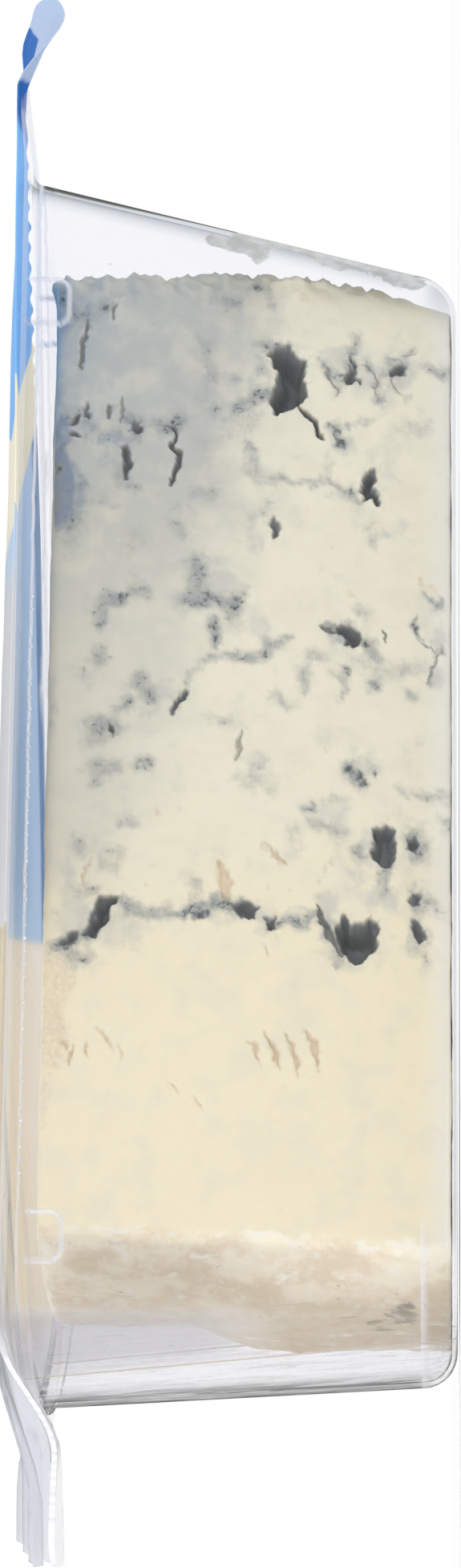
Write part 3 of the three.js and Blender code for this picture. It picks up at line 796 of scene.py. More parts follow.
# Patches of blue-grey mould: reach, height, how long and tall each is, and how thick the mould is there
MOULD = [
    (2.2, 31.5, 6, 7, 0.6), (3.0, 23.9, 3, 6, 0.45), (2.2, 17.5, 2, 6, 0.5), (4.5, 16.9, 3, 3, 0.6),
    (7.2, 18.5, 2.5, 2.5, 0.7), (10.5, 19.7, 3, 4, 0.7), (12.6, 21.3, 2.2, 6, 0.8), (8.0, 10.9, 3, 5, 1.0),
    (9.4, 8.5, 4, 3, 0.9), (9.0, 5.1, 4.5, 4, 0.95), (11.5, 6.4, 4, 3, 0.6), (13.5, 3.4, 3, 1.5, 0.5),
    (13.6, 34.4, 4.5, 4.5, 1.0), (15.2, 29.4, 3, 4, 0.8), (15.2, 26.2, 3.5, 4, 0.8),
    (14.2, 22.6, 1.6, 4, 0.7), (18.5, 29.4, 5, 3, 0.5), (19.5, 25.6, 5, 3, 0.6), (16.2, 10.4, 3, 2.5, 0.8),
    (18.5, 34.3, 9, 2.4, 0.9), (21.0, 16.7, 1.2, 6, 0.45), (21.0, 10.7, 1.2, 4, 0.6),
    (22.5, 9.0, 2.5, 2, 0.6), (27.5, 24.2, 2.2, 8, 0.95), (28.2, 30.2, 1.4, 6, 0.7),
    (29.5, 21.6, 2.6, 4, 0.95), (31.0, 33.6, 5, 2, 0.5), (30.8, 31.2, 3, 1.5, 0.6),
    (32.8, 26.4, 1.6, 2.5, 0.7), (33.2, 18.4, 2.4, 6, 0.6), (34.0, 10.6, 3.5, 3.5, 0.8),
    (32.5, 2.8, 7, 3, 0.5), (38.0, 14.0, 4, 3, 0.35), (39.5, 27.3, 3, 4, 0.8), (39.0, 30.0, 2, 3, 0.6),
    (41.0, 31.5, 4, 3, 0.5), (43.8, 12.0, 3, 5, 0.45), (46.4, 8.0, 3.2, 3.5, 0.8), (46.0, 18.0, 3, 3, 0.6),
    (46.5, 25.2, 3, 1.5, 0.5), (50.5, 11.0, 4, 3.5, 0.7), (51.0, 29.9, 3, 3, 0.5), (52.5, 32.2, 3, 2, 0.5),
    (53.6, 7.0, 5, 4, 0.9), (54.5, 3.7, 4, 2, 0.8), (56.0, 34.8, 8, 1.5, 0.7), (59.0, 11.8, 3, 3.5, 0.9),
    (58.6, 6.3, 3, 4, 0.9), (61.5, 3.8, 5, 2.4, 0.9), (59.8, 18.3, 3, 5, 1.0), (59.6, 25.3, 1.3, 11, 0.9),
    (59.8, 14.8, 1.4, 3, 0.6), (60.8, 33.1, 5, 3.6, 1.0), (62.5, 35.1, 3, 2, 1.0),
    (61.8, 16.5, 2.2, 3, 0.7), (66.0, 14.7, 3, 2, 0.3), (71.0, 16.7, 1.5, 3, 0.45),
    (34.4, 1.8, 3.5, 2.2, 0.8), (38.0, 1.6, 3, 2.2, 0.85), (31.0, 2.2, 2, 1.8, 0.6),
    (18.5, 6.0, 6, 2.4, 0.6), (24.5, 5.6, 3, 2.4, 0.55), (62.4, 9.0, 8, 8.5, 0.5), (54.6, 4.6, 9, 6.5, 0.5),
    (60.4, 30.4, 6.5, 7.5, 0.7), (59.6, 34.2, 5.5, 4, 0.8), (56.2, 9.6, 5, 5, 0.6),
    (60.0, 21.5, 3.4, 6, 0.6), (59.6, 3.6, 7, 3, 0.6), (50.0, 31.0, 9, 6, 0.4), (35.0, 9.6, 5.5, 5, 0.6),
    (9.4, 7.6, 8, 9, 0.6), (8.0, 4.5, 7, 6, 0.5),
]

# Veins: how wide, how strong and the line that each follows
VEINS = [
    (0.9, 0.7, [(1.5, 37.1), (3.3, 35.3), (4.3, 34.1)]),
    (0.9, 0.6, [(4.3, 34.1), (3.6, 33.0), (2.5, 32.4)]),
    (0.9, 0.55, [(1.9, 22.2), (2.4, 21.2), (2.6, 20.2)]),
    (0.6, 0.6, [(1.1, 18.7), (1.3, 17.5), (2.5, 17.2)]),
    (0.9, 0.5, [(6.0, 23.9), (6.4, 23.1), (8.2, 23.0), (9.5, 22.7), (9.5, 21.1), (10.0, 20.6)]),
    (0.7, 0.6, [(6.4, 18.2), (6.7, 17.2), (6.7, 15.4)]),
    (0.8, 0.45, [(8.2, 17.9), (10.3, 17.4), (11.8, 17.9)]),
    (1.0, 0.75, [(12.4, 20.1), (11.8, 19.0), (11.3, 17.9)]),
    (1.4, 0.4, [(11.8, 23.1), (13.4, 21.1), (13.9, 18.6)]),
    (0.8, 0.5, [(8.2, 12.2), (9.4, 11.5), (10.2, 11.2), (10.8, 10.8)]),
    (0.8, 0.56, [(9.4, 11.5), (9.8, 10.2), (9.7, 9.6)]), (0.7, 0.56, [(7.5, 10.0), (8.5, 9.6), (9.8, 9.6)]),
    (0.7, 0.5, [(8.5, 8.2), (9.5, 7.6), (10.8, 7.2), (11.8, 7.2)]),
    (0.7, 0.56, [(9.3, 7.6), (9.4, 6.5), (8.7, 5.5), (8.6, 4.8)]),
    (0.6, 0.5, [(7.8, 6.5), (8.0, 5.3), (7.3, 3.8)]), (0.6, 0.43, [(9.5, 5.5), (10.7, 5.6), (11.6, 4.8)]),
    (0.8, 0.6, [(5.8, 9.5), (6.4, 9.2), (7.2, 9.7)]), (0.7, 0.55, [(8.6, 2.6), (9.3, 1.3), (8.9, 0.9)]),
    (0.6, 0.8, [(14.2, 11.4), (14.9, 11.1), (16.0, 10.7)]),
    (0.6, 0.55, [(14.4, 9.7), (13.9, 9.0), (13.9, 8.3)]), (0.9, 0.5, [(14.4, 4.3), (14.7, 3.0)]),
    (0.8, 0.5, [(11.6, 36.9), (12.6, 35.6)]), (0.9, 0.6, [(13.9, 35.9), (13.1, 34.6), (14.2, 33.6)]),
    (1.0, 0.5, [(15.3, 32.7), (14.7, 31.2)]), (0.9, 0.7, [(13.4, 30.2), (14.2, 29.4), (15.4, 29.7)]),
    (0.9, 0.7, [(14.4, 27.5), (14.5, 26.0), (13.5, 25.3)]), (0.8, 0.4, [(16.0, 23.7), (16.2, 22.8)]),
    (0.8, 0.35, [(16.0, 21.5), (14.9, 21.0)]),
    (0.9, 0.6, [(16.2, 19.1), (17.2, 18.8), (18.5, 18.8), (19.5, 17.8), (19.3, 16.7)]),
    (0.6, 0.65, [(19.3, 16.8), (19.7, 14.6), (19.9, 12.6), (19.7, 11.8), (20, 10.9), (21.5, 8.7)]),
    (0.6, 0.35, [(17.0, 11.9), (19.5, 11.6)]), (0.9, 0.45, [(20.7, 23.7), (20.8, 22.0)]),
    (0.8, 0.35, [(21.7, 25.6), (21.7, 24.6)]), (0.5, 0.4, [(21.5, 33.7), (21.8, 31.3)]),
    (1.0, 0.5, [(23.6, 25.8), (24.4, 25.3)]), (0.7, 0.45, [(21.6, 17.0), (22.6, 17.8), (23.2, 19.0)]),
    (0.8, 0.35, [(24.4, 18.5), (25.6, 18.5)]), (1.0, 0.5, [(24.1, 7.8), (25.3, 7.7)]),
    (0.8, 0.4, [(26.4, 29.7), (24.6, 29.0)]), (0.6, 0.4, [(26.2, 24.3), (26.9, 24.0)]),
    (1.0, 0.75, [(18.3, 36.8), (19.0, 36.5)]), (1.0, 0.6, [(23.6, 35.9), (24.1, 35.4), (25.6, 35.6)]),
    (0.8, 0.5, [(18.3, 30.8), (20.0, 30.8), (20.3, 29.6)]), (0.9, 0.5, [(15.2, 36.8), (16.5, 36.3)]),
    (0.9, 0.7, [(31.5, 32.2), (30.7, 32.2), (30.7, 30.9), (29.8, 29.4), (30.1, 28.4)]),
    (0.8, 0.75, [(31.6, 32.2), (33.1, 32.5)]),
    (1.0, 0.7, [(27.3, 24.0), (28.6, 23.7), (29.6, 23.3), (30.5, 24.2), (31.1, 24.8)]),
    (0.9, 0.9, [(31.0, 24.5), (30.7, 22.6), (31.1, 20.8), (31.1, 20.1)]),
    (0.8, 0.6, [(31.1, 20.1), (30.1, 19.4)]), (0.6, 0.7, [(31.3, 20.0), (32.0, 19.9), (32.5, 20.8)]),
    (0.5, 0.85, [(32.5, 22.1), (33.6, 22.0), (34.9, 22.1)]),
    (0.7, 0.7, [(36.1, 22.1), (36.1, 20.8), (36.2, 19.8), (36.0, 17.4)]),
    (0.6, 0.7, [(36.0, 17.4), (35.1, 17.0), (34.4, 15.4)]), (0.9, 0.7, [(36.7, 32.8), (35.6, 32.2)]),
    (1.1, 0.35, [(37.4, 32.7), (38.1, 34.1)]), (1.0, 0.7, [(38.4, 28.9), (39.1, 28.2), (39.9, 27.8)]),
    (0.7, 0.6, [(40.9, 30.7), (40.2, 29.7)]), (1.0, 0.35, [(41.4, 28.3), (40.6, 28.0)]),
    (0.7, 0.45, [(39.9, 25.1), (38.4, 24.5), (37.5, 24.1), (36.9, 23.2)]),
    (1.2, 0.7, [(42.6, 32.8), (42.7, 31.1)]), (0.8, 0.5, [(44.0, 33.5), (43.7, 31.6)]),
    (1.1, 0.6, [(46.1, 32.8), (46.6, 30.8)]), (0.9, 0.5, [(47.1, 32.6), (47.9, 32.6)]),
    (0.8, 0.6, [(46.0, 28.8), (46.1, 27.9)]), (0.8, 0.5, [(51.4, 30.0), (51.6, 29.4)]),
    (0.8, 0.6, [(53.2, 34.1), (54.1, 33.8)]), (1.0, 0.55, [(55.4, 31.6), (55.3, 30.8)]),
    (0.8, 0.45, [(54.2, 30.8), (54.2, 30.0)]), (0.7, 0.35, [(41.7, 22.7), (42.1, 21.7), (42.0, 20.7)]),
    (1.3, 0.45, [(47.4, 18.8), (47.1, 17.8), (48.1, 16.8)]),
    (0.6, 0.8, [(33.2, 12.0), (33.7, 11.1), (33.4, 9.8)]), (0.8, 0.6, [(31.8, 8.9), (32.1, 8.3)]),
    (0.7, 0.7, [(35.1, 8.2), (36.1, 7.5)]), (1.0, 0.4, [(34.6, 11.3), (34.9, 10.3)]),
    (0.9, 0.5, [(35.9, 13.0), (36.1, 12.5)]), (0.8, 0.5, [(37.4, 14.1), (38.4, 13.7), (39.1, 13.8)]),
    (0.7, 0.45, [(39.6, 16.1), (40.4, 15.8), (40.9, 15.1)]), (0.6, 0.6, [(37.6, 11.5), (38.0, 10.8)]),
    (0.5, 0.7, [(37.4, 10.1), (39.1, 10.2), (40.1, 10.6)]), (0.8, 0.75, [(38.7, 7.7), (38.8, 7.4)]),
    (1.2, 0.4, [(37.6, 7.1), (37.4, 5.4), (37.4, 3.7)]),
    (0.8, 0.8, [(46.6, 9.9), (47.3, 8.9), (47.8, 8.6)]), (1.3, 0.35, [(45.8, 8.8), (46.3, 8.1)]),
    (0.6, 0.75, [(50.1, 13.7), (50.1, 13.1)]), (0.9, 0.4, [(49.4, 11.2), (49.3, 10.5)]),
    (0.8, 0.6, [(51.3, 13.1), (51.9, 12.6), (52.1, 11.9), (52.7, 10.0)]),
    (0.9, 0.4, [(52.2, 14.8), (53.0, 14.7)]),
    (0.6, 0.5, [(48.6, 5.2), (49.0, 3.2), (49.0, 1.3), (49.5, 0.8)]),
    (0.9, 0.45, [(51.9, 1.3), (52.0, 0.6)]),
    (0.7, 0.7, [(58.4, 30.1), (59.3, 29.4), (59.5, 28.2), (59.6, 26.5), (59.7, 24.8), (59, 22.9)]),
    (0.5, 0.9, [(60.2, 23.4), (59.7, 22.7)]), (0.7, 0.5, [(58.5, 23.8), (57.1, 23.4)]),
    (0.8, 0.8, [(58.9, 21.7), (58.9, 20.8), (59.0, 19.8)]),
    (0.7, 0.85, [(60.6, 15.9), (60.3, 14.7), (60.8, 13.8), (59.8, 12.8)]),
    (0.9, 0.6, [(53.7, 8.8), (54.7, 8.8)]), (1.2, 0.7, [(52.7, 3.7), (54.2, 3.6)]),
    (0.8, 0.6, [(55.9, 6.3), (57.9, 6.5)]), (0.9, 0.5, [(59.0, 2.7), (59.3, 2.1)]),
    (0.7, 0.6, [(57.9, 3.8), (59.3, 3.7)]), (1.0, 0.6, [(60.6, 11.9), (62.5, 11.0), (64.0, 10.4)]),
    (0.9, 0.7, [(63.0, 36.3), (62.6, 34.6), (62.0, 33.4)]), (1.1, 0.6, [(64.0, 34.4), (63.5, 32.9)]),
    (0.8, 0.5, [(57.9, 33.8), (57.6, 32.6)]), (1.2, 0.4, [(63.0, 3.2), (64.0, 2.7)]),
    (1.9, 0.5, [(18.0, 36.2), (23.4, 35.9)]), (1.4, 0.45, [(19.8, 34.6), (23.0, 34.9)]),
    (0.35, 0.7, [(30.1, 2.9), (31.2, 2.4), (31.6, 1.6), (31.0, 1.4)]),
    (0.3, 0.75, [(32.7, 3.6), (34.6, 3.6)]),
    (0.3, 0.6, [(34.6, 3.6), (35.3, 2.7), (36.1, 2.0), (35.6, 1.5)]),
    (0.35, 0.6, [(36.1, 1.7), (37.5, 2.1), (38.8, 2.8)]), (0.6, 0.6, [(39.4, 4.3), (40.0, 4.1)]),
]

# Brown spots: reach, height and how wide each is
BROWN_SPOTS = [
    (2.1, 14.2, 0.9), (2.1, 12.3, 0.6), (25.4, 19.9, 0.5), (21.1, 21.0, 0.4), (26.7, 9.1, 0.5),
    (6.7, 15.4, 0.5), (26.2, 11.4, 0.4), (44.6, 12.0, 0.6), (44.3, 8.1, 0.5), (30.3, 9.6, 0.9),
    (27.9, 12.1, 0.7), (46.4, 13.8, 0.4), (53.8, 17.3, 0.8), (54.6, 16.5, 0.6), (55.4, 15.9, 0.4),
    (55.2, 11.3, 0.7), (55.9, 11.9, 0.6), (56.9, 12.6, 0.5), (57.4, 16.9, 0.5), (58.2, 12.2, 0.6),
    (57.8, 14.9, 0.4), (57.0, 28.0, 0.4), (57.5, 29.2, 0.5), (55.4, 27.2, 0.7), (29.8, 2.7, 0.8),
    (30.0, 1.9, 0.5), (37.9, 11.2, 0.4), (50.5, 27.1, 0.7), (61.8, 16.9, 0.6), (28.9, 3.7, 0.4),
    (29.4, 3.5, 0.4), (29.9, 3.1, 0.4), (29.8, 2.4, 0.4),
]

# Wider tan patches: reach, height, length and height over which each fades, and strength
TAN_PATCHES = [
    (66.0, 36.0, 7.0, 5.0, 0.66),
    (70.5, 36.2, 10.0, 4.0, 0.7),
    (76.0, 36.9, 8.0, 2.2, 0.6),
    (8.5, 22.5, 8.0, 8.0, 0.3),
]

# Blue-grey patches that show through the paste, in the same way
BLUE_PATCHES = [
    (20.2, 36.5, 8.6, 3.2, 1.0),
    (20.6, 35.0, 7.4, 2.6, 0.42),
    (15.0, 36.3, 5.0, 2.2, 0.5),
    (3.2, 36.4, 6.0, 2.4, 0.45),
    (3.4, 33.6, 3.0, 3.0, 0.35),
    (16.5, 31.6, 4.5, 5.0, 0.3),
    (41.0, 36.6, 9.0, 1.4, 0.3),
]

# Dark spots of mould on the near half of the rind, in the same way
RIND_SPOTS = [
    (96.0, 5.0, 2.6, 3.8, 1.0),
    (95.3, 4.4, 1.6, 1.6, 1.0),
    (97.0, 7.2, 1.8, 2.4, 0.7),
]


def rind_lean(height):
    """How far the rind leans in at a height."""
    return RIND_LEAN * smoothstep(height, RIND_LEAN_FROM, RIND_LEAN_FROM + RIND_LEAN_OVER)


def cheese_wedge(height):
    """The bare cheese's outline at a height, with its leaning rind, worn tip and rounded edges."""
    wear = TIP_WEAR * (max(0, TIP_WEAR_HEIGHT - height) / TIP_WEAR_HEIGHT) ** TIP_WEAR_POWER
    below = min(BOTTOM_ROUND, max(0, CHEESE_BOTTOM + BOTTOM_ROUND - height))
    above = min(TOP_ROUND, max(0, height - CHEESE_TOP + TOP_ROUND))
    foot = BOTTOM_ROUND - math.sqrt(BOTTOM_ROUND**2 - below**2)
    head = TOP_ROUND - math.sqrt(TOP_ROUND**2 - above**2)
    rounded = foot + head
    lean = float(rind_lean(height))
    return Wedge(
        half_angle=CHEESE_HALF_ANGLE,
        side=CHEESE_SIDE - foot - head * CUT_FACE_ROUND,
        tip=wear + rounded,
        back=WHEEL_RADIUS - lean - rounded,
        back_radius=WHEEL_RADIUS - lean - rounded,
        corner=RIND_CORNER,
    )


CHEESE_STEP = 0.5
CHEESE_POINTS = OutlinePoints(
    far=np.linspace(0, 1, 120), near=np.linspace(0, 1, 190), tip=12, corner=5, back=110
)
EDGE_TURNS = np.radians([2, 20, 40, 60, 80])
CAP_RINGS = [0.985, 0.96, 0.93, 0.89, 0.84, 0.78, 0.71, 0.63, 0.54, 0.44, 0.33, 0.2]


def cheese_rings():
    """The bare cheese from its bottom to its top, with rings across both so that they can be uneven too."""
    low = [CHEESE_BOTTOM + BOTTOM_ROUND * (1 - math.cos(turn)) for turn in EDGE_TURNS]
    high = [CHEESE_TOP - TOP_ROUND * (1 - math.cos(turn)) for turn in EDGE_TURNS[::-1]]
    straight = side_places(CHEESE_BOTTOM + BOTTOM_ROUND, CHEESE_TOP - TOP_ROUND, CHEESE_STEP)
    rings = []
    for height in [*low, *straight, *high]:
        reach, across = wedge_outline(cheese_wedge(height), CHEESE_POINTS).T
        rings.append(place(reach, across, height))

    def cap(ring):
        middle = ring.mean(axis=0)
        return [middle + (ring - middle) * share for share in CAP_RINGS]

    return [*cap(rings[0])[::-1], *rings, *cap(rings[-1])]


def segment_distance(points, start, end):
    """Distance from rows of points to a segment, and how far along it the nearest place is."""
    start, end = np.array(start, float), np.array(end, float)
    along = end - start
    share = np.clip((points - start) @ along / (along @ along), 0, 1)
    return np.hypot(*(points - start - share[:, None] * along).T), share


def outline_distance(points, outline):
    """Distance from rows of points to a closed outline, below 0 inside it."""
    nearest = np.full(len(points), np.inf)
    inside = np.zeros(len(points), bool)
    for start, end in zip(outline, outline[1:] + outline[:1]):
        nearest = np.minimum(nearest, segment_distance(points, start, end)[0])
        (x0, y0), (x1, y1) = start, end
        if y0 != y1:
            crosses = (points[:, 1] > min(y0, y1)) & (points[:, 1] <= max(y0, y1))
            inside ^= crosses & (points[:, 0] < x0 + (points[:, 1] - y0) * (x1 - x0) / (y1 - y0))
    return np.where(inside, -nearest, nearest)


def line_distance(points, line):
    """Distance from rows of points to a line, and how far along the whole line the nearest place is."""
    nearest = np.full(len(points), np.inf)
    along = np.zeros(len(points))
    count = len(line) - 1
    for i in range(count):
        distance, share = segment_distance(points, line[i], line[i + 1])
        closer = distance < nearest
        nearest = np.where(closer, distance, nearest)
        along = np.where(closer, (i + share) / count, along)
    return nearest, along


def around(points, line, margin):
    """Whether rows of points are in the box round a line, widened by a margin."""
    low, high = np.min(line, 0) - margin, np.max(line, 0) + margin
    return np.all((points > low) & (points < high), axis=1)


def blur_edges(points):
    """Face places moved about by noise, so that outlines drawn on them come out ragged."""
    return points + 0.32 * stray(points, 1.3, 3, 11.0, 47.0) + 0.1 * stray(points, 0.45, 2, 83.0, 29.0)


@dataclass
class FaceMarks:
    """At each point of the near cut face, how deep it is cut, and how dark, tan and crumbly it is."""

    depth: np.ndarray
    dark: np.ndarray
    tan: np.ndarray
    crumbs: np.ndarray


HOLE_WALL = 0.55
CRUMB_REACH = 1.6


def mark_face(points):
    """What the holes, cracks and gouges do at places of the near cut face."""
    ragged = blur_edges(points)
    marks = FaceMarks(*np.zeros((4, len(points))))
    near_edge = np.zeros(len(points))
    for depth, outline in HOLES:
        close = around(points, outline, 3)
        inside = -outline_distance(ragged[close], outline)
        cut = depth * smoothstep(inside, -0.1, HOLE_WALL + 0.12 * depth)
        marks.depth[close] = np.maximum(marks.depth[close], cut)
        marks.dark[close] = np.maximum(marks.dark[close], smoothstep(inside, -0.05, 0.2))
        near_edge[close] = np.maximum(near_edge[close], smoothstep(inside, -CRUMB_REACH, -0.2))
    for width, depth, dark, line in CRACKS:
        distance, along = line_distance(ragged, line)
        half = width * (0.35 + 0.65 * np.sin(math.pi * np.clip(along, 0.03, 0.97)))
        inside = half - distance
        marks.depth = np.maximum(marks.depth, depth * smoothstep(inside, -0.08, 0.2))
        marks.dark = np.maximum(marks.dark, dark * smoothstep(inside, -0.07, 0.1))
    for width, depth, line in GOUGES:
        distance, along = line_distance(ragged, line)
        half = 0.65 * width * np.sin(math.pi * np.clip(along, 0.12, 0.95)) ** 0.7
        inside = half - distance
        marks.depth = np.maximum(marks.depth, depth * smoothstep(inside, -0.15, 0.3))
        marks.tan = np.maximum(marks.tan, 0.9 * smoothstep(inside, -0.1, 0.2))
    marks.crumbs = near_edge * (1 - marks.dark)
    return marks


def mould_amount(points):
    """How thick the blue-grey mould is at places of a cut face."""
    moved = points + 0.9 * stray(points, 3.0, 3, 5.0, 61.0)
    amount = np.zeros(len(points))
    for reach, height, long, tall, thick in MOULD:
        offset = (moved - (reach, height)) / (0.5 * long, 0.5 * tall)
        amount = np.maximum(amount, thick * fade(np.hypot(*offset.T), 0.35, 1.35))
    return amount


def vein_amount(points):
    """How strong the veins are at places of a cut face."""
    moved = points + 0.4 * stray(points, 1.6, 3, 15.0, 71.0)
    amount = np.zeros(len(points))
    for width, strength, line in VEINS:
        close = around(moved, line, 3)
        distance, _ = line_distance(moved[close], line)
        amount[close] = np.maximum(amount[close], strength * np.exp(-((distance / width) ** 2)))
    return amount


def patch_amount(points, patches):
    """How strong soft patches are at places seen from the side."""
    amount = np.zeros(len(points))
    for reach, height, long, tall, strength in patches:
        distance = np.hypot((points[:, 0] - reach) / (0.5 * long), (points[:, 1] - height) / (0.5 * tall))
        amount = np.maximum(amount, strength * fade(distance, 0.5, 1.2))
    return amount


def brown_amount(points):
    """How brown places of the near cut face are."""
    amount = np.zeros(len(points))
    for reach, height, width in BROWN_SPOTS:
        distance = np.hypot(points[:, 0] - reach, points[:, 1] - height)
        amount = np.maximum(amount, 0.8 * fade(distance, 0.2 * width, width))
    return np.maximum(amount, patch_amount(points, TAN_PATCHES))


def split_near_marks(mesh):
    """Cuts the near face's mesh finer where a hole, crack or gouge will be."""
    grid = bmesh.new()
    grid.from_mesh(mesh)
    for size in (1.0, 0.45):
        grid.edges.ensure_lookup_table()
        lengths = np.array([e.calc_length() for e in grid.edges])
        middles = np.array([(e.verts[0].co + e.verts[1].co) / 2 for e in grid.edges])
        reach, across, height = pack_places(middles)
        near = (across < -0.5) & (reach < 86) & (height > 1.5) & (height < 36.8) & (lengths > 0.12 * MM)
        wanted = edge_zone(np.column_stack([reach, height])[near], size)
        edges = [grid.edges[i] for i in np.flatnonzero(near)[wanted]]
        bmesh.ops.subdivide_edges(grid, edges=edges, cuts=1, use_grid_fill=True)
    bmesh.ops.triangulate(grid, faces=[f for f in grid.faces if len(f.verts) > 4])
    grid.to_mesh(mesh)
    grid.free()


def edge_zone(points, size):
    """Whether places of the near face are within size of a wall that its marks will raise."""
    zone = np.zeros(len(points), bool)
    for _, outline in HOLES:
        close = around(points, outline, 2)
        inside = -outline_distance(points[close], outline)
        zone[close] |= (inside > -size) & (inside < size + 0.5)
    for width, _, _, line in CRACKS:
        zone |= line_distance(points, line)[0] < size * 0.7 + width
    for width, _, line in GOUGES:
        zone |= line_distance(points, line)[0] < size * 0.7 + width / 2
    return zone


def cheese_piece(material):
    """The cheese with its marks cut in and its surface made uneven."""
    points, faces = skin(cheese_rings())
    piece = new_piece("cheese_wedge", points, faces, material, smooth_angle=70)
    mesh = piece.data
    split_near_marks(mesh)
    base = mesh_points(mesh)
    normals = np.array([tuple(v.normal) for v in mesh.vertices])
    reach, across, height = pack_places(base)
    from_side = np.column_stack([reach, height])
    face_angle = math.radians(CHEESE_HALF_ANGLE)
    off_face = reach * math.sin(face_angle) + CHEESE_SIDE - np.abs(across) * math.cos(face_angle)
    on_face = smoothstep(-off_face, -0.4, -0.05)
    on_near = (across < 0) & (on_face > 0)
    on_far = (across > 0) & (on_face > 0)
    depth, dark, tan, crumbs, mould, veins, blue = np.zeros((7, len(base)))
    marks = mark_face(from_side[on_near])
    face_places = blur_edges(from_side[on_near])
    depth[on_near] = marks.depth * on_face[on_near]
    dark[on_near] = marks.dark
    tan[on_near] = np.maximum(marks.tan, brown_amount(face_places))
    crumbs[on_near] = marks.crumbs
    mould[on_near] = mould_amount(face_places)
    veins[on_near] = vein_amount(face_places)
    blue[on_near] = patch_amount(face_places, BLUE_PATCHES)
    # The far face isn't seen, so it is veined like the near one turned top to bottom
    far_places = blur_edges(np.column_stack([reach, CHEESE_TOP - height])[on_far])
    mould[on_far] = mould_amount(far_places)
    veins[on_far] = vein_amount(far_places)
    # The rind leans evenly at its corners, and its edge against the paste wanders
    lean = rind_lean(height)
    even_lean = RIND_LEAN * np.clip(height / CHEESE_TOP, 0, 1)
    at_corner = smoothstep(np.abs(across), 14, 38) * smoothstep(reach, 78, 88)
    shift = (lean - even_lean) * at_corner
    inside_wheel = WHEEL_RADIUS - lean - np.hypot(reach, across)
    places = base / MM
    wander = 0.8 * unevenness(places, 2.2, 3, 91.0)
    rind = fade(inside_wheel + wander, 0.2, 1.1) * (np.abs(normals[:, 2]) < 0.7)
    spots = patch_amount(from_side, RIND_SPOTS) * (across < 0)
    mould = np.maximum(mould, spots * rind)
    # The surface swells and sinks, crumbles round the holes, and is rougher at the tip and on the rind
    swell = 0.1 * unevenness(places, 7, 3) + 0.04 * unevenness(places, 1.2, 2, 9.0)
    crumble = crumbs * 0.28 * np.maximum(unevenness(places, 0.9, 3, 21.0), -0.2)
    ragged = 0.4 * unevenness(places, 3.4, 3, 33.0) + 0.6 * unevenness(places, 0.8, 4, 13.0) + 0.1
    ragged_tip = fade(reach, 0.8, 3.2) * ragged
    rind_bumps = rind * (0.3 * unevenness(places, 2.6, 3, 55.0) - 0.05)
    out = swell + crumble + ragged_tip + rind_bumps - depth - 0.12 * veins
    moved = base + normals * out[:, None] * MM
    moved[:, 0] -= shift * MM
    mesh.vertices.foreach_set("co", moved.ravel())
    paint(mesh, dark=dark, tan=tan, mould=mould, veins=veins, blue=blue, rind=rind)
    mesh.update()
    return piece


# Finishes


def colour(red, green, blue):
    """A colour as it looks on a screen, 0 to 255, for a shader."""
    shares = [c / 255 for c in (red, green, blue)]
    return [c / 12.92 if c <= 0.04045 else ((c + 0.055) / 1.055) ** 2.4 for c in shares] + [1.0]


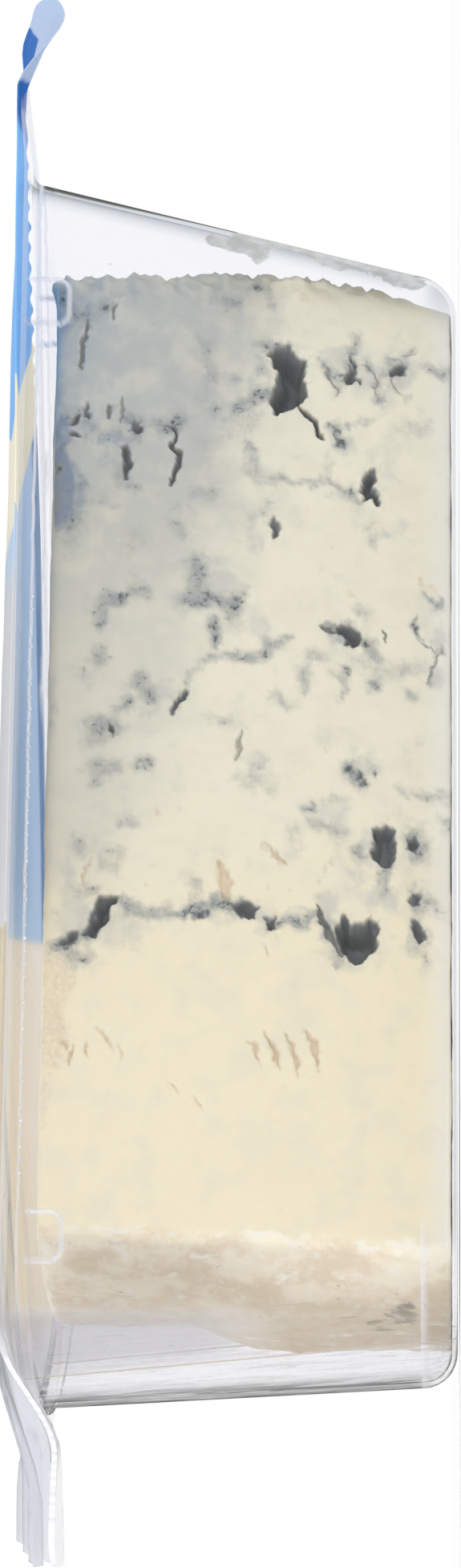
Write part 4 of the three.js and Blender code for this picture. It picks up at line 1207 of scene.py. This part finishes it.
class Finish:
    """A material whose nodes are added one after another."""

    def __init__(self, name):
        self.material = bpy.data.materials.new(name)
        self.material.use_nodes = True
        self.tree = self.material.node_tree
        self.tree.nodes.clear()
        self.output = self.tree.nodes.new("ShaderNodeOutputMaterial")

    def node(self, kind, values=None, **settings):
        """A new node with its settings made, and each input linked or given its value."""
        node = self.tree.nodes.new(kind)
        for key, value in settings.items():
            setattr(node, key, value)
        for key, value in (values or {}).items():
            if isinstance(value, bpy.types.NodeSocket):
                self.tree.links.new(value, node.inputs[key])
            else:
                node.inputs[key].default_value = value
        return node

    def place(self):
        return self.node("ShaderNodeTexCoord").outputs["Object"]

    def pack_places(self):
        """Reach, across and height, in millimetres."""
        x, y, z = self.node("ShaderNodeSeparateXYZ", {0: self.place()}).outputs
        return self.times(x, -1 / MM, ORIGIN_REACH), self.times(y, 1 / MM), self.times(z, 1 / MM)

    def facing(self):
        """From 0 where the surface faces the eye to 1 where it is seen edge-on."""
        return self.node("ShaderNodeLayerWeight", {"Blend": 0.5}).outputs["Facing"]

    def attribute(self, name):
        return self.node("ShaderNodeAttribute", attribute_name=name).outputs["Fac"]

    def maths(self, operation, *values):
        return self.node("ShaderNodeMath", dict(enumerate(values)), operation=operation).outputs[0]

    def times(self, *values):
        """The product of two values, with a third added to it."""
        return self.maths("MULTIPLY_ADD" if len(values) == 3 else "MULTIPLY", *values)

    def between(self, value, low, high, to_low=0.0, to_high=1.0):
        """Goes smoothly from one number to another as the value goes from low to high."""
        values = {"Value": value, "From Min": low, "From Max": high, "To Min": to_low, "To Max": to_high}
        return self.node("ShaderNodeMapRange", values, interpolation_type="SMOOTHSTEP").outputs["Result"]

    def specks(self, size_mm, detail, roughness=0.55, stretch=None, distortion=0.0, turn=0.0):
        """Noise from 0 to 1 with features of a size in millimetres, turned about the across axis."""
        spot = self.place()
        if turn:
            spot = self.node("ShaderNodeMapping", {"Vector": spot, "Rotation": (0, turn, 0)}).outputs[0]
        if stretch:
            spot = self.node("ShaderNodeMapping", {"Vector": spot, "Scale": stretch}).outputs[0]
        values = {"Vector": spot, "Scale": 1 / (size_mm * MM), "Distortion": distortion}
        values |= {"Detail": detail, "Roughness": roughness}
        return self.node("ShaderNodeTexNoise", values).outputs["Fac"]

    def swings(self, *size, **look):
        """The same noise from -0.5 to 0.5."""
        return self.maths("SUBTRACT", self.specks(*size, **look), 0.5)

    def blend(self, share, first, second):
        """One colour into another."""
        values = {0: share, 6: first, 7: second}
        return self.node("ShaderNodeMix", values, data_type="RGBA").outputs[2]

    def coats(self, look, *coats):
        """A colour with others laid over it one after another, each by its own share."""
        for share, tone in coats:
            look = self.blend(share, look, tone)
        return look

    def bump(self, height, strength, distance_mm):
        values = {"Height": height, "Strength": strength, "Distance": distance_mm * MM}
        return self.node("ShaderNodeBump", values).outputs[0]

    def shader(self, kind, values):
        return self.node("ShaderNodeBsdf" + kind, values).outputs[0]

    def surface(self, shader):
        self.tree.links.new(shader, self.output.inputs["Surface"])
        return self.material

    def mixed(self, share, first, second):
        """One shader into another."""
        return self.node("ShaderNodeMixShader", {0: share, 1: first, 2: second}).outputs[0]


CREAM_WARM = colour(238, 229, 199)
CREAM = colour(234, 229, 206)
CREAM_DULL = colour(225, 219, 198)
GREY_PASTE = colour(187, 188, 180)
TAN_PASTE = colour(212, 188, 160)
BOTTOM_LIGHT_PALE = colour(240, 238, 229)
CLOUD_GREY = colour(194, 195, 186)
BLUE_PASTE = colour(120, 139, 166)
VEIN_PALE = colour(149, 154, 152)
VEIN_DEEP = colour(70, 76, 76)
HOLE_GREY = colour(132, 135, 134)
RIND_TAN = colour(249, 239, 214)
RIND_GREY = colour(231, 215, 187)
RIND_PALE = colour(251, 247, 232)
RIND_SPECK = colour(96, 98, 94)
RIND_DEEP = colour(203, 187, 160)
RIND_LINE = colour(243, 238, 224)

# How high up the face the greyer paste starts, which rises towards the rind
GREY_FROM = 17.5
GREY_RISE = 0.0044


def cheese_finish():
    """Moist cream paste, greyer towards the lid, with clouded blue-grey veins and a tan rind."""
    finish = Finish("blue_cheese")
    reach, _, height = finish.pack_places()
    cloud = finish.swings(7, 4, 0.6)
    # Greyer paste up the face, warmer paste towards the rind
    rise = finish.times(finish.times(reach, reach), GREY_RISE, GREY_FROM)
    over_line = finish.times(cloud, 18, finish.maths("SUBTRACT", height, rise))
    near_veins = finish.between(finish.times(cloud, 14, reach), 62, 55)
    grey = finish.times(finish.between(over_line, -5, 6), near_veins)
    grey = finish.times(grey, finish.between(reach, 12, 42, 1.0, 0.4))
    warm = finish.between(finish.times(cloud, 22, reach), 44, 66)
    mottle = finish.between(finish.specks(3.2, 5), 0.42, 0.68)
    # Painted light: the paste is paler along its bottom edge
    painted_bottom_light = finish.between(height, 1.0, 3.6, 0.55, 0.0)

    fine = finish.swings(1.5, 6, 0.62, distortion=0.4)
    finest = finish.swings(0.5, 3)
    faint = finish.times(finish.between(finish.specks(4.5, 7, 0.62), 0.55, 0.72), near_veins)
    clouded = finish.between(finish.times(fine, 1.2, finish.attribute("mould")), 0.2, 1.0)
    clouded = finish.maths("MAXIMUM", finish.times(clouded, 0.6), finish.times(faint, 0.4))
    brown = finish.times(finest, 1.2, finish.attribute("tan"))
    bluish = finish.times(fine, 0.8, finish.attribute("blue"))
    strength = finish.times(fine, 1.1, finish.attribute("veins"))
    core = finish.times(finest, 2.2, finish.times(fine, 0.7, strength))
    paste = finish.coats(
        CREAM,
        (warm, CREAM_WARM),
        (grey, GREY_PASTE),
        (finish.times(mottle, 0.45), CREAM_DULL),
        (painted_bottom_light, BOTTOM_LIGHT_PALE),
        (clouded, CLOUD_GREY),
        (finish.between(brown, 0.2, 1.1, 0.0, 0.6), TAN_PASTE),
        (finish.between(bluish, 0.15, 0.7, 0.0, 0.92), BLUE_PASTE),
        (finish.between(strength, 0.06, 0.95, 0.0, 0.9), VEIN_PALE),
        (finish.between(core, 0.66, 1.35, 0.0, 0.9), VEIN_DEEP),
        (finish.attribute("dark"), HOLE_GREY),
    )

    rind_amount = finish.attribute("rind")
    lie = (1, 0.35, 0.8)
    mouldy = finish.times(fine, 2.4, finish.attribute("mould"))
    rind = finish.coats(
        RIND_TAN,
        (finish.between(finish.specks(5, 6, 0.68, stretch=lie), 0.42, 0.6), RIND_GREY),
        (finish.between(finish.specks(1.6, 5, 0.65, stretch=lie), 0.54, 0.7), RIND_PALE),
        (finish.between(finish.specks(1.1, 2, stretch=lie), 0.7, 0.78, 0.0, 0.7), RIND_SPECK),
        (finish.between(mouldy, 0.4, 0.9, 0.0, 0.8), RIND_SPECK),
        (finish.between(reach, 91, 98, 0.0, 0.6), RIND_DEEP),
    )
    edge = finish.times(finish.between(rind_amount, 0.05, 0.4), finish.between(rind_amount, 0.95, 0.5))
    edge = finish.times(edge, finish.between(finish.specks(2.4, 2, stretch=lie), 0.43, 0.55))
    look = finish.coats(paste, (rind_amount, rind), (edge, RIND_LINE))

    grain = finish.specks(0.7, 4, 0.6)
    values = {
        "Base Color": look,
        "Roughness": finish.between(grain, 0.3, 0.7, 0.42, 0.62),
        "Normal": finish.bump(grain, 0.2, 0.2),
        "Specular IOR Level": 0.3,
        "Subsurface Weight": 0.35,
        "Subsurface Radius": (1.0, 0.8, 0.55),
        "Subsurface Scale": 2.5 * MM,
    }
    return finish.surface(finish.shader("Principled", values))


# The end wall is tinted pale grey with specks above about 15 mm, up to a slanting line along which a tan
# reflection streak is painted
END_WALL_SLANT = 0.094
REFLECTION_LINE = 97.7
END_WALL_PALE = colour(203, 201, 207)
END_WALL_SPECK = colour(140, 145, 148)
REFLECTION_TAN = colour(178, 162, 138)
SMEAR_GREY = colour(166, 169, 165)
SMEAR_PALE = colour(196, 198, 198)

# How the plastic tints what is behind it, and its own look
CLEAR_PLAIN = colour(253, 253, 254)
CLEAR_SHADED = colour(231, 233, 236)
EDGE_ON_GREY = colour(150, 153, 150)
END_LINE_GREY = colour(84, 87, 83)
STREAK_GREY = colour(206, 208, 210)
HAZE_AND_HIGHLIGHT_WHITE = colour(236, 237, 243)
FLANGE_WHITE = colour(240, 241, 245)
BEAD_DULL = colour(214, 217, 224)


def clear_tray_finish():
    """Thin clear plastic, dark edge-on and pale as the flange, with painted shade, highlights and a
    reflection streak.
    """
    finish = Finish("clear_tray")
    facing = finish.facing()
    web = finish.attribute("web")
    streaks = finish.attribute("streaks")
    turned = finish.times(finish.attribute("nose"), 0.24, facing)
    edge_on = finish.times(finish.between(turned, 0.84, 1.0), finish.attribute("walls"))
    reach, _, height = finish.pack_places()
    slanted_reach = finish.times(height, -END_WALL_SLANT, reach)
    lines = finish.specks(0.9, 4, 0.6, stretch=(2.4, 0.3, 0.1), turn=END_WALL_SLANT)
    # The end wall's pale grey tint, and the painted reflection streak along the slanting line that bounds it
    end_wall_tint = finish.times(streaks, finish.between(slanted_reach, REFLECTION_LINE + 0.1, REFLECTION_LINE - 0.3))
    end_wall_tint = finish.times(end_wall_tint, finish.between(height, 15, 23))
    reflection_streak = finish.times(streaks, finish.between(slanted_reach, REFLECTION_LINE - 0.12, REFLECTION_LINE))
    reflection_streak = finish.times(reflection_streak, finish.between(slanted_reach, REFLECTION_LINE + 0.14, REFLECTION_LINE + 0.04))
    tint = finish.coats(
        CLEAR_PLAIN,
        (finish.attribute("shade"), CLEAR_SHADED),
        (edge_on, EDGE_ON_GREY),
        (finish.times(finish.between(facing, 0.945, 0.99), streaks), END_LINE_GREY),
        (finish.times(streaks, finish.between(lines, 0.34, 0.28)), STREAK_GREY),
    )
    clear = finish.shader("Transparent", {"Color": tint})
    smeared = finish.times(finish.swings(2.4, 5), 1.6, finish.attribute("smears"))
    smeared = finish.between(smeared, 0.35, 0.5)
    smear_look = finish.blend(finish.between(finish.specks(1.6, 4), 0.4, 0.65), SMEAR_GREY, SMEAR_PALE)
    specked = finish.between(finish.specks(0.8, 4), 0.62, 0.7)
    look = finish.coats(
        HAZE_AND_HIGHLIGHT_WHITE,
        (smeared, smear_look),
        (end_wall_tint, finish.blend(specked, END_WALL_PALE, END_WALL_SPECK)),
        (reflection_streak, REFLECTION_TAN),
        (finish.attribute("tail"), FLANGE_WHITE),
    )
    gloss = finish.shader("Principled", {"Base Color": look, "Roughness": 0.1})
    # How much of the plastic's own look shows, in place of what is behind it; the bent mark is the painted
    # highlights
    share = finish.times(finish.attribute("bent"), 0.7, 0.015)
    share = finish.times(finish.times(web, finish.between(facing, 0.7, 1.0)), 0.4, share)
    share = finish.times(finish.attribute("tail"), 0.6, share)
    hazed = finish.times(streaks, finish.between(lines, 0.5, 0.64, 0.1, 0.5))
    hazed = finish.times(hazed, finish.between(slanted_reach, REFLECTION_LINE - 0.2, REFLECTION_LINE + 0.3, 0.14, 1.0))
    share = finish.maths("ADD", hazed, finish.times(end_wall_tint, 0.3, share))
    share = finish.times(reflection_streak, 0.5, share)
    share = finish.maths("MINIMUM", finish.times(smeared, 0.8, share), 0.95)
    return finish.surface(finish.mixed(share, clear, gloss))


def bead_finish():
    """Glossy beads of plastic painted white as highlights, some duller and rougher than others."""
    finish = Finish("seal_bead")
    bead_noise = finish.specks(0.8, 3)
    look = finish.blend(finish.between(bead_noise, 0.4, 0.6), FLANGE_WHITE, BEAD_DULL)
    values = {"Base Color": look, "Roughness": finish.between(bead_noise, 0.4, 0.6, 0.15, 0.4)}
    return finish.surface(finish.shader("Principled", values))


FIELD_BLUE = colour(156, 212, 254)
FIELD_CREAM = colour(252, 248, 234)
FIELD_LATER = colour(212, 231, 250)
FIELD_FAR = colour(134, 174, 214)
TAB_PALE = colour(206, 221, 242)
TAB_BLUE = colour(70, 136, 212)
CLEAR_WARM = colour(235, 221, 195)
CLEAR_GREY_AND_SHEEN = colour(231, 232, 236)
CLEAR_EDGE = colour(158, 165, 168)
CLEAR_FILM = colour(250, 250, 252)

# Where the curved cream band starts and ends: its reach in the middle and how fast that falls to the far
# side, then the line that bounds it on the near side
CREAM_BAND = ((14.5, 0.75, 19.9, 0.52), (26.7, 0.92, 27.3, 0.2))
BAND_BULGE = 0.16
PRINT_END = 61.0
TAB_PRINT = (-17.5, 0.8, 22.5, 2.2)


def film_finish():
    """Thin glossy film: a blue field with a slanting cream band, paler on the tab, clear at the rind end."""
    finish = Finish("printed_film")
    reach, across, _ = finish.pack_places()

    def past(line):
        middle, fall_far, near_start, fall_near = line
        edge = finish.times(finish.maths("MAXIMUM", across, 0), -fall_far, middle)
        edge = finish.times(finish.maths("MINIMUM", across, 0), -BAND_BULGE, edge)
        edge = finish.maths("MINIMUM", edge, finish.times(across, fall_near, near_start))
        return finish.between(finish.maths("SUBTRACT", reach, edge), -0.12, 0.12)

    into_band, out_of_band = (past(line) for line in CREAM_BAND)
    angle = math.radians(TRAY_HALF_ANGLE)
    rim_side = tray_wedge(RIM_HEIGHT).side
    off_middle = finish.times(across, math.cos(angle), finish.times(reach, -math.sin(angle)))
    far_seal = finish.between(off_middle, rim_side - 1.5, rim_side - 0.3)
    # The tab's paler print ends in a strip along its far side, with a rounded end
    tab_from, strip, round_from, round_rate = TAB_PRINT
    beyond = finish.maths("MAXIMUM", finish.times(reach, -1, -round_from), 0)
    left_of_strip = finish.maths("SUBTRACT", finish.times(beyond, round_rate, strip), across)
    on_tab = finish.between(reach, tab_from, tab_from - 0.6)
    on_tab = finish.times(on_tab, finish.between(left_of_strip, -0.3, 0.3))
    clear_part = finish.between(reach, PRINT_END - 0.5, PRINT_END + 0.5)
    facing = finish.facing()
    clear_look = finish.blend(finish.between(reach, 96, 101), CLEAR_WARM, CLEAR_GREY_AND_SHEEN)
    clear_look = finish.blend(finish.between(facing, 0.925, 0.985), clear_look, CLEAR_EDGE)
    # Painted sheen: the film's near half is pale grey from about reach 25 on
    painted_sheen = finish.between(across, -0.5, -3)
    field = finish.coats(
        FIELD_BLUE,
        (finish.between(reach, -13, -15), TAB_BLUE),
        (into_band, FIELD_CREAM),
        (out_of_band, finish.blend(far_seal, FIELD_LATER, FIELD_FAR)),
        (on_tab, TAB_PALE),
        (finish.times(painted_sheen, finish.between(reach, 25, 32)), CLEAR_GREY_AND_SHEEN),
        (clear_part, clear_look),
    )
    clear_share = finish.between(facing, 0.6, 1.0, 0.06, 0.7)
    shares = {0: clear_part, 2: 0.94, 3: clear_share}
    share = finish.node("ShaderNodeMix", shares, data_type="FLOAT").outputs[0]
    clear = finish.shader("Transparent", {"Color": CLEAR_FILM})
    crinkle = finish.bump(finish.specks(5, 3), 0.15, 0.6)
    values = {"Base Color": field, "Roughness": 0.45, "Specular IOR Level": 0.05, "Normal": crinkle}
    lit_through = finish.shader("Translucent", {"Color": field})
    printed = finish.mixed(0.45, finish.shader("Principled", values), lit_through)
    return finish.surface(finish.mixed(share, clear, printed))


# The studio

CAMERA_DISTANCE = 0.8
CAMERA_TURN = math.radians(2.5)
CAMERA_RISE = math.radians(1.47)
LENS = 198.1
SENSOR = 36
TARGET = Vector((-1.2 * MM, 0, 21 * MM))


def set_up_camera():
    """The pack is seen from table level, square to its side, with its tip at the top of the picture and its
    base on the right."""
    data = bpy.data.cameras.new("camera")
    data.sensor_fit = "VERTICAL"
    data.sensor_height = SENSOR
    data.sensor_width = SENSOR
    data.lens = LENS
    camera = show("camera", data)
    level = math.cos(CAMERA_RISE)
    back = Vector((-math.sin(CAMERA_TURN) * level, -math.cos(CAMERA_TURN) * level, -math.sin(CAMERA_RISE)))
    along = Vector((1, 0, 0))
    up = (along - back * along.dot(back)).normalized()
    right = up.cross(back)
    camera.matrix_world = Matrix.Translation(TARGET + CAMERA_DISTANCE * back) @ (
        Matrix((right, up, back)).transposed().to_4x4()
    )
    bpy.context.scene.camera = camera


def softbox(name, spot, size, watts, mirrored=True):
    """A square lamp that faces the pack, and that glossy surfaces mirror or not."""
    data = bpy.data.lights.new(name, "AREA")
    data.shape = "SQUARE"
    data.size = size
    data.energy = watts
    lamp = show(name, data)
    lamp.location = spot
    lamp.visible_glossy = mirrored
    lamp.rotation_euler = (TARGET - Vector(spot)).to_track_quat("-Z", "Y").to_euler()


FLOOR_SIZE = 40
FLOOR_BELOW = 0.0002
FLOOR_WHITE = colour(252, 252, 252)

# The lamps' places, sizes and watts
KEY_LIGHT = ((0.3, -0.8, 0.13), 0.6, 1.25)
FILL_LIGHT = ((-0.72, -0.5, 0.25), 0.7, 1.1)


def set_up_studio():
    world = bpy.data.worlds.new("studio")
    world.use_nodes = True
    world.node_tree.nodes["Background"].inputs["Color"].default_value = (1, 1, 1, 1)
    world.node_tree.nodes["Background"].inputs["Strength"].default_value = 1.0
    scene = bpy.context.scene
    scene.world = world
    scene.view_settings.view_transform = "Standard"
    scene.cycles.transparent_max_bounces = 32
    corners = [(x, y, 0) for x, y in ((-1, -1), (1, -1), (1, 1), (-1, 1))]
    corners = np.array(corners) * FLOOR_SIZE / 2 - (0, 0, FLOOR_BELOW)
    finish = Finish("pale_floor")
    matt = finish.shader("Diffuse", {"Color": FLOOR_WHITE})
    floor = new_piece("floor", corners, [(0, 1, 2, 3)], finish.surface(matt))
    softbox("key_light", *KEY_LIGHT)
    softbox("fill_light", *FILL_LIGHT, mirrored=False)


# Assembly

set_up_studio()
set_up_camera()

rings = tray_rings()
tray = new_piece("clear_tray", *skin(rings), clear_tray_finish())
tray_marks(tray.data, len(rings[0]))
dress(tray, "clear_tray", "tray")

beads = seal_beads(bead_finish())
dress(beads, "clear_tray")

film_faces = skin([*film_rings(0), *film_rings(FILM_THICKNESS)[::-1]])
film = new_piece("printed_lid_film", *film_faces, film_finish())
dress(film, "printed_film", "lid_film")

cheese = cheese_piece(cheese_finish())
dress(cheese, "cheese", "cheese")
